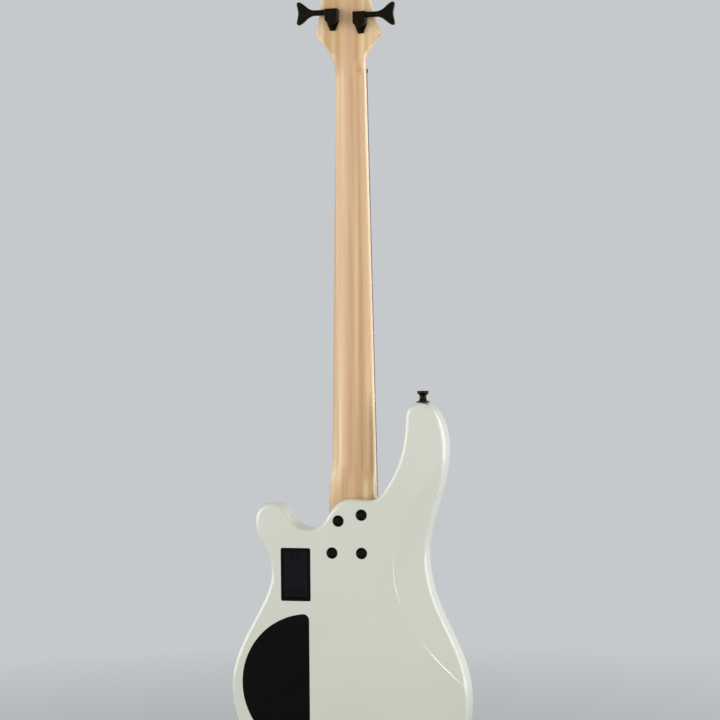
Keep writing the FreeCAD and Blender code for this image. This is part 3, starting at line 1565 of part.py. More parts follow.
def self_gap(edges, gauge):
    """Least gap of a wound wire to itself."""
    points = []
    for edge in edges:
        points.extend(edge.discretize(Distance=0.6)[:-1])
    tail = points[-260:]
    least = 1e9
    for i, one in enumerate(tail):
        for other in tail[i + int(3 * gauge / 0.6) + 4:]:
            least = min(least, one.distanceToPoint(other) - gauge)
    return least


def string(name, place, turns):
    """One string as an unbroken wire, with its ball, wound up its post from the headstock side."""
    gauge = num(f"sizes.gauge_{name}")
    post_x, post_z, side = TUNERS[name]
    ball = Vector(num(f"sizes.string_spacing*({place})"), num(BALL_Y), num(f"{BRIDGE_LOW} - 2.6"))
    crest = Vector(ball.x, num(STRING_Y) + gauge / 2, num(SADDLE_AT[name]) - 5.5)
    nut = Vector(
        num(f"sizes.nut_spacing*({place})"),
        num(NUT_STRING_Y) + gauge / 2,
        num(f"{NUT_Z} + sizes.nut_length"),
    )
    winding = num("sizes.post_radius + sizes.running_play") + gauge / 2
    centre = Vector(num(post_x), 0, num(post_z))
    low = num(f"{FACE_Y} + sizes.bushing_lip + 0.5") + gauge / 2
    points = [ball, crest, nut]
    last = nut
    if name in ("a", "d"):
        away = num(post_x) - side * winding
        share = (num(RETAINER_Z) - nut.z) / (centre.z - nut.z)
        last = Vector(
            nut.x + (away - nut.x) * share,
            num(f"{RETAINER_Y} - sizes.retainer_dip") - gauge / 2,
            num(RETAINER_Z),
        )
        points.append(last)
    to_nut = Vector(last.x - centre.x, 0, last.z - centre.z)
    start_angle = math.atan2(to_nut.z, to_nut.x) - side * math.acos(winding / to_nut.Length)
    pitch = gauge + num("sizes.turn_gap")

    def on_post(turn):
        angle = start_angle - side * 2 * math.pi * turn
        here = Vector(
            centre.x + winding * math.cos(angle), low + pitch * turn, centre.z + winding * math.sin(angle)
        )
        slope = Vector(side * math.sin(angle), 0, -side * math.cos(angle)) * (2 * math.pi * winding)
        return here, (slope + Vector(0, pitch, 0)).normalize()

    touch = on_post(0)[0]
    approach = touch + (last - touch).normalize() * 9
    edges = route(points + [approach], 1.5)
    lead = (touch - last).normalize()
    here = approach
    step = 0.25
    for count in range(int(turns / step) + 1):
        there, trail = on_post(count * step)
        edges.extend(biarc(here, lead, there, trail))
        here, lead = there, trail
    wire = tube(edges, gauge / 2)
    ball_end = Part.makeCylinder(2.6, 5, ball + Vector(-2.5, 0, 0), Vector(1, 0, 0))
    length = Part.Wire(edges).Length
    print(f"string {name}: length {length:.0f}, least gap of its turns {self_gap(edges, gauge):.2f}")
    node(solid(f"string_{name}", wire.fuse(ball_end)), f"string_{name}")


for name, turns in (("e", 1.75), ("a", 1.75), ("d", 2.25), ("g", 2.25)):
    string(name, STRINGS[name], turns)

# Neck screws in their ferrules, each recessed in the back of the body.
ferrule = turned(
    "ferrule",
    [
        ("sizes.neck_screw + 0.3", "sizes.ferrule_depth"),
        ("sizes.ferrule_radius", "sizes.ferrule_depth"),
        ("sizes.ferrule_radius", 0.4),
        ("sizes.ferrule_radius - 0.4", 0),
        ("sizes.ferrule_radius - 1.4", 0),
        ("sizes.neck_screw + 2.4", 1.1),
        ("sizes.neck_screw + 0.3", "sizes.ferrule_depth - 0.8"),
    ],
)
node(copies("neck_ferrules", ferrule, NECK_SCREWS), "neck_ferrules")
bite = f"({FLOOR_Y} - {BACK_Y} + sizes.neck_screw_bite - 1.2)"
neck_screw = screw(
    "neck_screw_blank", "sizes.neck_screw + 2", "sizes.ferrule_depth - 2.1", "sizes.neck_screw", bite, "y"
)
cross_one = box("cross_one", -2.6, -1, -0.5, 5.2, 2.6, 1)
cross_two = box("cross_two", -0.5, -1, -2.6, 1, 2.6, 5.2)
neck_screw_cross = cut("neck_screw_cross", neck_screw, fuse("cross", cross_one, cross_two))
neck_screw_places = [(x, f"{y} + 1.2", z) for x, y, z in NECK_SCREWS]
node(copies("neck_screws", neck_screw_cross, neck_screw_places), "neck_screws")

# Strap buttons at the tail and on the bass horn.
BUTTON_BORE = "(sizes.button_screw + sizes.clearance)"
BUTTON = [
    (BUTTON_BORE, 0),
    ("sizes.button_waist + 1.4", 0),
    ("sizes.button_waist", 3.2),
    ("sizes.button_waist", "sizes.button_height - sizes.button_rim - 3"),
    ("sizes.button_radius", "sizes.button_height - sizes.button_rim"),
    ("sizes.button_radius", "sizes.button_height"),
    ("sizes.button_screw + 2.3", "sizes.button_height"),
    (BUTTON_BORE, "sizes.button_height - 2.2"),
]
FELT = [
    (BUTTON_BORE, 0),
    ("sizes.felt_radius", 0),
    ("sizes.felt_radius", "sizes.felt_thickness"),
    (BUTTON_BORE, "sizes.felt_thickness"),
]
HORN_X = "sizes.bass_horn_reach"
buttons = [
    turned("tail_button", BUTTON, 0, 0, f"{TAIL_Z} - sizes.felt_thickness", "-z"),
    turned("horn_button", BUTTON, HORN_X, 0, f"{HORN_Z} + sizes.felt_thickness", "z"),
]
node(group("strap_buttons", buttons), "strap_buttons")
felts = [turned("tail_felt", FELT, 0, 0, TAIL_Z, "-z"), turned("horn_felt", FELT, HORN_X, 0, HORN_Z, "z")]
node(group("strap_button_felts", felts), "strap_button_felts")
BUTTON_STACK = "sizes.felt_thickness + sizes.button_height"
button_screws = []
for name, x, z, along in (
    ("tail_screw", 0, f"{TAIL_Z} - ({BUTTON_STACK})", "z"),
    ("horn_screw", HORN_X, f"{HORN_Z} + {BUTTON_STACK}", "-z"),
):
    piece = screw(
        name, "sizes.button_screw + 2.2", 2.1, "sizes.button_screw", "sizes.button_screw_length", along
    )
    button_screws.append(bind(piece, Placement__Base__x=x, Placement__Base__z=z))
node(group("strap_button_screws", button_screws), "strap_button_screws")

# Pickups on foam blocks, held by a screw at each end.
foams = []
for name, place in PICKUP_Z.items():
    block = pickup_block(name + "_case", place, "0", PICKUP_LOW, "sizes.pickup_height")
    top = num(PICKUP_TOP)
    crowned = rounded(
        name + "_crowned", block, "1.5", lambda e: level(e) and abs(e.BoundBox.YMax - top) < 0.1
    )
    ways = []
    for end in (-1, 1):
        x = f"({end})*{PICKUP_SCREW_X}"
        ways += screw_way(
            f"{name}{end + 1}",
            "sizes.pickup_screw",
            "sizes.pickup_screw_length",
            x,
            PICKUP_TOP,
            place,
            "-y",
        )
    node(cut(name, crowned, *ways), name)
    foams.append(
        box(name + "_foam", -16, PICKUP_FLOOR, f"{place} - 13", 32, f"{PICKUP_LOW} - {PICKUP_FLOOR}", 26)
    )
node(group("pickup_foams", foams), "pickup_foams")
pickup_screw = small_screw("pickup_screw_blank", "sizes.pickup_screw", "sizes.pickup_screw_length", "-y")
node(copies("pickup_screws", pickup_screw, PICKUP_SCREWS), "pickup_screws")

# Controls: four potentiometers through the front of the cavity, each with its knob.
pot = turned(
    "pot",
    [
        (0, f"{CAVITY_Y} - sizes.pot_depth"),
        ("sizes.pot_radius", f"{CAVITY_Y} - sizes.pot_depth"),
        ("sizes.pot_radius", CAVITY_Y),
        ("sizes.pot_bushing", CAVITY_Y),
        ("sizes.pot_bushing", FRONT_Y),
        ("sizes.pot_bushing + 2", FRONT_Y),
        ("sizes.pot_bushing + 2", f"{FRONT_Y} + 2.2"),
        ("sizes.pot_bushing", f"{FRONT_Y} + 2.2"),
        ("sizes.pot_bushing", f"{FRONT_Y} + 4"),
        ("sizes.pot_shaft + sizes.clearance", f"{FRONT_Y} + 4"),
        ("sizes.pot_shaft + sizes.clearance", f"{CAVITY_Y} - 5"),
        (0, f"{CAVITY_Y} - 5"),
    ],
)
node(copies("pots", pot, [(x, 0, z) for x, z in POTS.values()]), "pots")
KNOB_LOW = f"({FRONT_Y} + 0.8)"
KNOB_TOP = f"({KNOB_LOW} + sizes.knob_height)"
KNOB = [
    (0, f"{CAVITY_Y} - 4.5"),
    ("sizes.pot_shaft", f"{CAVITY_Y} - 4.5"),
    ("sizes.pot_shaft", f"{FRONT_Y} + 5"),
    ("sizes.pot_bushing + 2.6", f"{FRONT_Y} + 5"),
    ("sizes.pot_bushing + 2.6", KNOB_LOW),
    ("sizes.knob_radius", KNOB_LOW),
    ("sizes.knob_radius - 0.7", f"{KNOB_TOP} - 1"),
    ("sizes.knob_radius - 1.7", KNOB_TOP),
    (0, KNOB_TOP),
]
for name, (x, z) in POTS.items():
    knob = turned(f"knob_solid_{name}", KNOB, x, 0, z)
    pointer = box(
        f"knob_pointer_{name}", f"{x} - 0.5", f"{KNOB_TOP} - 0.6", f"{z} + 2", 1, 2, "sizes.knob_radius"
    )
    node(cut(f"knob_{name}", knob, pointer), f"knob_{name}")

# Preamp board on four posts against the front of the cavity.
board_parts = [box("preamp_plate", f"-{BOARD_LEFT}", BOARD_BACK, BOARD_LOW, 26, 1.6, 52)]
for i, (right, rise) in enumerate(((3, 3), (23, 3), (3, 49), (23, 49))):
    board_parts.append(
        rod(
            f"preamp_post{i}",
            1.5,
            f"{CAVITY_Y} - {BOARD_BACK}",
            f"-{BOARD_LEFT} + {right}",
            BOARD_BACK,
            f"{BOARD_LOW} + {rise}",
        )
    )
for i, (right, rise, width, height, tall) in enumerate(
    ((5, 8, 8, 10, 6), (15, 8, 6, 14, 4), (6, 28, 14, 8, 5), (6, 41, 6, 6, 7))
):
    board_parts.append(
        box(
            f"preamp_chip{i}",
            f"-{BOARD_LEFT} + {right}",
            f"{BOARD_BACK} - {tall}",
            f"{BOARD_LOW} + {rise}",
            width,
            f"{tall} + 0.5",
            height,
        )
    )
node(fuse("preamp_board", *board_parts), "preamp_board")

# Output jack, square to the edge of the treble bout.
jack = turned(
    "output_jack",
    [
        (0, "-sizes.jack_length"),
        ("sizes.jack_radius", "-sizes.jack_length"),
        ("sizes.jack_radius", -1),
        ("sizes.jack_flange", -1),
        ("sizes.jack_flange", 0.6),
        ("sizes.jack_radius + 0.6", 1),
        ("sizes.jack_radius + 0.6", 3.4),
        ("sizes.jack_bore", 3.4),
        ("sizes.jack_bore", -3),
        ("sizes.jack_bore + 1.3", -3),
        ("sizes.jack_bore + 1.3", "-sizes.jack_length + 4"),
        (0, "-sizes.jack_length + 4"),
    ],
)
node(jack_place(jack, "0"), "output_jack")

# Control cover, flush in its ledge.
cover_plate = half_round(
    "control_cover_plate", "0", "sizes.cover_corner", BACK_Y, "sizes.cover_thickness"
)
cover_ways = []
for i, (x, y, z) in enumerate(COVER_SCREWS):
    cover_ways += screw_way(f"cover{i}", "sizes.cover_screw", "sizes.cover_screw_length", x, y, z, "y")
node(cut("control_cover", cover_plate, *cover_ways), "control_cover")
cover_screw = small_screw("cover_screw_blank", "sizes.cover_screw", "sizes.cover_screw_length", "y")
node(copies("control_cover_screws", cover_screw, COVER_SCREWS), "control_cover_screws")

# Battery box: frame and tub in the body, tray with lid hinged at its lower end, battery in the tray.
TUB_LEFT = f"({BOX_LEFT} - sizes.box_margin)"
TUB_LOW = f"({BOX_LOW} + sizes.box_margin)"
TUB_WIDTH = "(sizes.box_width - 2*sizes.box_margin)"
TUB_HEIGHT = "(sizes.box_height - 2*sizes.box_margin)"
HINGE_Y = f"({BACK_Y} + sizes.tray_lid/2)"
HINGE_Z = f"({TUB_LOW} + sizes.box_wall + sizes.running_play + sizes.tray_lid/2)"
TRAY_LEFT = f"({TUB_LEFT} - sizes.box_wall - sizes.running_play)"
TRAY_WIDTH = f"({TUB_WIDTH} - 2*sizes.box_wall - 2*sizes.running_play)"
TRAY_TOP = f"({TUB_LOW} + {TUB_HEIGHT} - sizes.box_wall - sizes.running_play)"
frame_lip = box(
    "frame_lip", f"-{BOX_LEFT}", BACK_Y, BOX_LOW, "sizes.box_width", "sizes.box_lip", "sizes.box_height"
)
frame_round = rounded("frame_round", frame_lip, "sizes.box_corner", upright)
frame_tub = box("frame_tub", f"-{TUB_LEFT}", BACK_Y, TUB_LOW, TUB_WIDTH, "sizes.box_depth", TUB_HEIGHT)
frame_space = box(
    "frame_space",
    f"-{TUB_LEFT} + sizes.box_wall",
    f"{BACK_Y} - 1",
    f"{TUB_LOW} + sizes.box_wall",
    f"{TUB_WIDTH} - 2*sizes.box_wall",
    "sizes.box_depth - sizes.box_wall + 1",
    f"{TUB_HEIGHT} - 2*sizes.box_wall",
)
pin_length = f"({TRAY_WIDTH} + 2*sizes.running_play + 2)"
pin_start = f"(-{TRAY_LEFT} - sizes.running_play - 1)"
pin_way = rod(
    "hinge_way",
    "sizes.hinge_pin + sizes.clearance",
    f"{pin_length} + 0.6",
    f"{pin_start} - 0.3",
    HINGE_Y,
    HINGE_Z,
    "x",
)
wire_exit = rod(
    "battery_exit", 2.5, "sizes.box_wall + 4", f"-{BOX_X}", BATTERY_LEAD_Y, f"{TUB_LOW} - 2", "z"
)
node(
    cut("battery_box", fuse("frame_solid", frame_round, frame_tub), frame_space, pin_way, wire_exit),
    "battery_box",
)
lid = box(
    "tray_lid", f"-{TRAY_LEFT}", BACK_Y, HINGE_Z, TRAY_WIDTH, "sizes.tray_lid", f"{TRAY_TOP} - {HINGE_Z}"
)
lid_knuckle = rod("tray_knuckle", "sizes.tray_lid/2", TRAY_WIDTH, f"-{TRAY_LEFT}", HINGE_Y, HINGE_Z, "x")
hinge_pin = rod("tray_pin", "sizes.hinge_pin", pin_length, pin_start, HINGE_Y, HINGE_Z, "x")
CRADLE_X = f"({BOX_X} + sizes.battery_width/2 + 1.2)"
CRADLE_WIDTH = "(sizes.battery_width + 2.4)"
LID_IN = f"({BACK_Y} + sizes.tray_lid)"
BATTERY_LOW = f"({HINGE_Z} + 4.5)"
BATTERY_TOP = f"({BATTERY_LOW} + sizes.battery_length)"
cradle = [
    box(
        "cradle_low",
        f"-{CRADLE_X}",
        f"{LID_IN} - 0.5",
        f"{BATTERY_LOW} - 2",
        CRADLE_WIDTH,
        "sizes.battery_depth - 1",
        1.8,
    ),
    box(
        "cradle_top",
        f"-{CRADLE_X}",
        f"{LID_IN} - 0.5",
        f"{BATTERY_TOP} + 0.2",
        CRADLE_WIDTH,
        "sizes.battery_depth - 4",
        1.6,
    ),
    box(
        "cradle_left",
        f"-{CRADLE_X}",
        f"{LID_IN} - 0.5",
        f"{BATTERY_LOW} - 2",
        1,
        6,
        "sizes.battery_length + 3.8",
    ),
    box(
        "cradle_right",
        f"-{CRADLE_X} + {CRADLE_WIDTH} - 1",
        f"{LID_IN} - 0.5",
        f"{BATTERY_LOW} - 2",
        1,
        6,
        "sizes.battery_length + 3.8",
    ),
]
latch = box("latch_tab", f"-{BOX_X} - 4", f"{BACK_Y} + 0.2", f"{TRAY_TOP} - 3.2", 8, 2, 1.6)
latch_recess = box("latch_recess", f"-{BOX_X} - 6.5", f"{BACK_Y} - 1", f"{TRAY_TOP} - 8.5", 13, 2.2, 7.5)
lid_groove = box(
    "lid_groove",
    f"-{TRAY_LEFT} - 1",
    f"{BACK_Y} - 1",
    f"{HINGE_Z} + sizes.tray_lid/2 + 2",
    f"{TRAY_WIDTH} + 2",
    "1 + sizes.tray_lid*0.4",
    "sizes.lid_groove",
)
lid_line = box(
    "lid_line",
    f"-{TRAY_LEFT} - 1",
    f"{BACK_Y} - 1",
    f"{HINGE_Z} + sizes.tray_lid/2 + 3.5 + sizes.lid_groove",
    f"{TRAY_WIDTH} + 2",
    1.4,
    0.8,
)
lid_recessed = cut("lid_recessed", lid, latch_recess, lid_groove, lid_line)
tray_solid = fuse("tray_solid", lid_recessed, lid_knuckle, hinge_pin, latch, *cradle)
node(tray_solid, "battery_tray")
battery_case = box(
    "battery_case",
    f"-{BOX_X} - sizes.battery_width/2",
    f"{LID_IN} + sizes.clearance",
    BATTERY_LOW,
    "sizes.battery_width",
    "sizes.battery_depth - 1",
    "sizes.battery_length",
)
battery_round = rounded("battery_round", battery_case, "2", lambda e: e.BoundBox.ZLength > 10)
node(battery_round, "battery")

# Wiring inside the body: pickup leads, battery lead and jack lead to the preamp board.
pickup_lead_y = num(PICKUP_LEAD_Y)
battery_lead_y = num(BATTERY_LEAD_Y)
board_x = -num(BOARD_LEFT)
board_y = num(BOARD_BACK)
leads = []
for name, inset, rise, shift in (("neck_pickup", 0, 0, 2.7), ("bridge_pickup", 6, -6, -2.7)):
    x = -num(LEAD_X) - inset
    start = Vector(x, num(PICKUP_LOW), num(PICKUP_Z[name]) + rise)
    level = num(PICKUP_Z["bridge_pickup"]) + shift
    corner = Vector(x, pickup_lead_y, start.z)
    turn_off = Vector(x, pickup_lead_y, level)
    board_end = Vector(board_x + 22, pickup_lead_y, level)
    leads.append(tube(route([start, corner, turn_off, board_end], 2), num("sizes.wire_radius")))
battery_lead = [
    Vector(-num(BOX_X), battery_lead_y, num(TUB_LOW)),
    Vector(-num(BOX_X), battery_lead_y, num(BOARD_LOW) + 47),
    Vector(-num(BOX_X), board_y, num(BOARD_LOW) + 47),
]
leads.append(tube(route(battery_lead, 2), num("sizes.wire_radius")))
jack_end = JACK - JACK_OUT * num("sizes.jack_length")
jack_lead = [
    jack_end,
    jack_end - JACK_OUT * 8,
    Vector(-num(JACK_LEAD_X), battery_lead_y, num(JACK_LEAD_Z)),
    Vector(-num(JACK_LEAD_X), board_y, num(JACK_LEAD_Z)),
]
leads.append(tube(route(jack_lead, 2), num("sizes.wire_radius")))
node(solid("wiring", Part.makeCompound(leads)), "wiring")

doc.recompute()
os.makedirs("parts", exist_ok=True)
for thing in doc.Objects:
    if "Invalid" in thing.State or "Error" in thing.State:
        raise RuntimeError(f"{thing.Name} did not build")
for piece in NODES:
    if piece.Shape.isNull() or not piece.Shape.isValid():
        raise RuntimeError(f"{piece.Label} is not a valid shape")
    piece.Shape.exportStep(os.path.join("parts", piece.Label + ".step"))
print(f"{len(NODES)} sub-parts written")
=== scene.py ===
import math

import bpy
import numpy as np
from bpy.props import FloatProperty, FloatVectorProperty, IntProperty, PointerProperty
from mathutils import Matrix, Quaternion, Vector


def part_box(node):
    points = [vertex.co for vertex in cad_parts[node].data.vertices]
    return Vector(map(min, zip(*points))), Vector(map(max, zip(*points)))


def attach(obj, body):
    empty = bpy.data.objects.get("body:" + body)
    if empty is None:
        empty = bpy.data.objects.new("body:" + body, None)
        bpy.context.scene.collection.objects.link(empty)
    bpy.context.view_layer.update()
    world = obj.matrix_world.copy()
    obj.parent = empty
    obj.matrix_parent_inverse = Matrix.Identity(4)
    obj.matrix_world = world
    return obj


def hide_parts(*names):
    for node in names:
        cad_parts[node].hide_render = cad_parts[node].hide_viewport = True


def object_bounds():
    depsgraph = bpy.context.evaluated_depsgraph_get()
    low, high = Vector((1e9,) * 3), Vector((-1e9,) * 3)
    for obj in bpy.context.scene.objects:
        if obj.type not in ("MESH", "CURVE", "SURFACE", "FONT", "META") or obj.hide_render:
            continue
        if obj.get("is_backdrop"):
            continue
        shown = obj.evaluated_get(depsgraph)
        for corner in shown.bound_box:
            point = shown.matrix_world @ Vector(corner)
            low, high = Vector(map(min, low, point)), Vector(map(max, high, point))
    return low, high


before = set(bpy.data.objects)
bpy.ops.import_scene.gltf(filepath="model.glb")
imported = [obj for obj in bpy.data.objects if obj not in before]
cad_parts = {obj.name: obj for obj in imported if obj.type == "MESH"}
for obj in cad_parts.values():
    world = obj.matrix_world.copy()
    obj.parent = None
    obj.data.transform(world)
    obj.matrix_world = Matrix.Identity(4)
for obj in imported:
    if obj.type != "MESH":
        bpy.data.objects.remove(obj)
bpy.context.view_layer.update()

bl_info = {
    "name": "Electric bass guitar",
    "version": (1, 0, 0),
    "blender": (4, 5, 0),
    "location": "View3D > Sidebar > Bass",
    "description": "Finishes, small fittings and studio for a four-string electric bass",
    "category": "Object",
}

MM = 0.001
STRINGS = "eadg"
KNOBS = ("volume", "blend", "treble", "bass")
# Inputs of a Map Range node: 0 is the value, 1 and 2 are its span, 3 and 4 are what the span becomes.
# The first span here holds nearly all of a noise, the second a plain share.
NOISE_SPAN = {1: 0.3, 2: 0.7}
WHOLE_SPAN = {1: 0.0, 2: 1.0}
# Edges that turn by more than this stay sharp.
SHARP_TURN = math.radians(35)
FINISHES = {}


def linear(code):
    """Linear colour with alpha from an sRGB hex code."""
    channels = np.array([int(code[i:i + 2], 16) for i in (1, 3, 5)]) / 255
    curve = np.where(channels <= 0.04045, channels / 12.92, ((channels + 0.055) / 1.055) ** 2.4)
    return (*curve.tolist(), 1.0)


def tinted(shade, *factors):
    """Colour whose red, green and blue are multiplied."""
    return tuple(np.array(shade) * (*factors, 1))


def per_metre(size_mm):
    """Texture scale of a pattern whose features are this many millimetres apart."""
    return 1.0 / (size_mm * MM)


def colour(name, description, code):
    """Colour setting with an sRGB default."""
    return FloatVectorProperty(
        name=name, description=description, default=linear(code), size=4, min=0, max=1, subtype="COLOR"
    )


def length(name, description, size_mm):
    """Length setting with a default in millimetres."""
    return FloatProperty(name=name, description=description, default=size_mm * MM, min=0, unit="LENGTH")


def angle_setting(name, description, degrees):
    """Angle setting with a default in degrees."""
    return FloatProperty(name=name, description=description, default=math.radians(degrees), subtype="ANGLE")


class BASS_PG_finish(bpy.types.PropertyGroup):
    """Colours of the finishes."""

    lacquer: colour("Lacquer", "Polyester lacquer of the body", "#dadccd")
    maple: colour("Maple", "Mid tone of the neck", "#c7985f")
    maple_light: colour("Maple, pale", "Pale wood between the growth rings", "#ebcf9f")
    maple_dark: colour("Maple, dark", "Growth rings and flecks", "#b6844d")
    maple_pink: colour("Maple, pink", "Rosy heartwood stripe", "#d6a886")
    rosewood: colour("Rosewood", "Mid tone of the fingerboard", "#3a2419")
    hardware: colour("Hardware", "Black plating of the metal parts", "#1d1b14")
    plastic: colour("Plastic", "Black moulded plastic", "#060605")
    lid: colour("Lid", "Blue-black moulded plastic of the battery tray", "#08090d")
    wear: colour("Wear", "Bare metal where edges are rubbed", "#4a463d")


class BASS_PG_fittings(bpy.types.PropertyGroup):
    """Sizes of the small fittings."""

    knurl_count: IntProperty(name="Knurl", description="Ridges round a knob", default=60, min=12)
    knurl_depth: length("Knurl depth", "Depth of the ridges round a knob", 0.35)
    recess_depth: FloatProperty(
        name="Recess",
        description="Depth of a cross recess over the radius of the head",
        default=0.5,
        min=0,
    )
    side_dot: length("Side dot", "Radius of the dots on the edge of the fingerboard", 1.1)


class BASS_PG_studio(bpy.types.PropertyGroup):
    """Camera, light and background."""

    azimuth: angle_setting("Azimuth", "Camera round to the bass side", 13.7)
    roll: angle_setting("Roll", "Lean of the picture", -0.5)
    distance: length("Distance", "Camera to the middle of the picture", 2500)
    aim: FloatVectorProperty(
        name="Aim",
        description="Middle of the picture",
        default=(13.6 * MM, 3.45 * MM, 579.5 * MM),
        size=3,
        subtype="XYZ",
        unit="LENGTH",
    )
    lens: FloatProperty(name="Lens", description="Focal length in millimetres", default=98, unit="CAMERA")
    background: colour("Background", "Pale backdrop and floor", "#c6c9cc")
    key: FloatProperty(name="Key light", description="Power of a lamp of share 1", default=59, unit="POWER")
    fill: FloatProperty(name="Fill", description="Strength of the light from all round", default=0.4, min=0)


def add(tree, kind, inputs=None, **settings):
    """Adds a node, sets its properties, and sets or links its inputs."""
    node = tree.nodes.new(kind)
    for name, value in settings.items():
        setattr(node, name, value)
    for name, value in (inputs or {}).items():
        if isinstance(value, bpy.types.NodeSocket):
            tree.links.new(value, node.inputs[name])
        else:
            node.inputs[name].default_value = value
    return node


def new_finish(name):
    """Empty material's node tree, and its Object coordinates."""
    finish = bpy.data.materials.new(name)
    finish.use_nodes = True
    tree = finish.node_tree
    tree.nodes.clear()
    FINISHES[name] = finish
    return tree, add(tree, "ShaderNodeTexCoord").outputs["Object"]


def close_finish(tree, inputs, bump=None):
    """Principled surface with these inputs, and a bump of (height socket, strength, depth)."""
    if bump is not None:
        height, strength, depth = bump
        relief = add(tree, "ShaderNodeBump", {"Height": height, "Strength": strength, "Distance": depth})
        inputs = {**inputs, "Normal": relief.outputs["Normal"]}
    shader = add(tree, "ShaderNodeBsdfPrincipled", inputs)
    add(tree, "ShaderNodeOutputMaterial", {"Surface": shader.outputs["BSDF"]})


def dress(finish, *nodes):
    """Gives CAD nodes a finish."""
    for node in nodes:
        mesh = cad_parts[node].data
        mesh.materials.clear()
        mesh.materials.append(FINISHES[finish])


def along_neck(tree, place, across_mm, along_mm, detail):
    """Noise with one size across the neck and another along it."""
    sizes = (per_metre(across_mm), per_metre(across_mm), per_metre(along_mm))
    drawn = add(tree, "ShaderNodeMapping", {"Vector": place, "Scale": sizes})
    inputs = {"Vector": drawn.outputs[0], "Scale": 1.0, "Detail": detail}
    return add(tree, "ShaderNodeTexNoise", inputs).outputs[0]


def ramp(tree, factor, low, high, span=NOISE_SPAN):
    """Colour between two others as a factor goes through a span."""
    share = add(tree, "ShaderNodeMapRange", {0: factor, **span, 3: 0.0, 4: 1.0})
    inputs = {"Factor": share.outputs[0], "A": low, "B": high}
    return add(tree, "ShaderNodeMix", inputs, data_type="RGBA").outputs["Result"]


def rubbed_edges(tree, place, radius_mm):
    """Share of wear, and the rounded normal.

    The share is how far the normal turns within a radius, times a noise that breaks it up.
    """
    soft = add(tree, "ShaderNodeBevel", {"Radius": radius_mm * MM}, samples=4)
    true = add(tree, "ShaderNodeNewGeometry")
    normals = {0: soft.outputs["Normal"], 1: true.outputs["Normal"]}
    likeness = add(tree, "ShaderNodeVectorMath", normals, operation="DOT_PRODUCT")
    patch = add(tree, "ShaderNodeTexNoise", {"Vector": place, "Scale": per_metre(3), "Detail": 4.0})
    edge = add(tree, "ShaderNodeMapRange", {0: likeness.outputs["Value"], 1: 0.99, 2: 0.8, 3: 0.0, 4: 1.0})
    rubbed = add(tree, "ShaderNodeMapRange", {0: patch.outputs[0], 1: 0.45, 2: 0.7, 3: 0.0, 4: 0.5})
    factors = {0: edge.outputs[0], 1: rubbed.outputs[0]}
    share = add(tree, "ShaderNodeMath", factors, operation="MULTIPLY")
    return share.outputs[0], soft.outputs["Normal"]


class BASS_OT_lacquer(bpy.types.Operator):
    """Polyester lacquer, sprayed and buffed: a deep clear gloss over warm white, with faint orange peel."""

    bl_idname = "bass.lacquer"
    bl_label = "Lacquer the body"

    def execute(self, context):
        base = tuple(context.scene.bass_finish.lacquer)
        warm = tinted(base, 0.955, 0.955, 0.93)
        tree, place = new_finish("white_polyester_lacquer")
        cloud = add(tree, "ShaderNodeTexNoise", {"Vector": place, "Scale": per_metre(90), "Detail": 3.0})
        peel = add(tree, "ShaderNodeTexNoise", {"Vector": place, "Scale": per_metre(2.2), "Detail": 1.0})
        haze = add(tree, "ShaderNodeTexNoise", {"Vector": place, "Scale": per_metre(25), "Detail": 5.0})
        rough = add(tree, "ShaderNodeMapRange", {0: haze.outputs[0], **NOISE_SPAN, 3: 0.30, 4: 0.38})
        close_finish(
            tree,
            {
                "Base Color": ramp(tree, cloud.outputs[0], warm, base),
                "Roughness": rough.outputs[0],
                "IOR": 1.5,
                "Coat Weight": 1.0,
                "Coat Roughness": 0.04,
            },
            (peel.outputs[0], 0.06, 0.02 * MM),
        )
        dress("white_polyester_lacquer", "body")
        return {"FINISHED"}


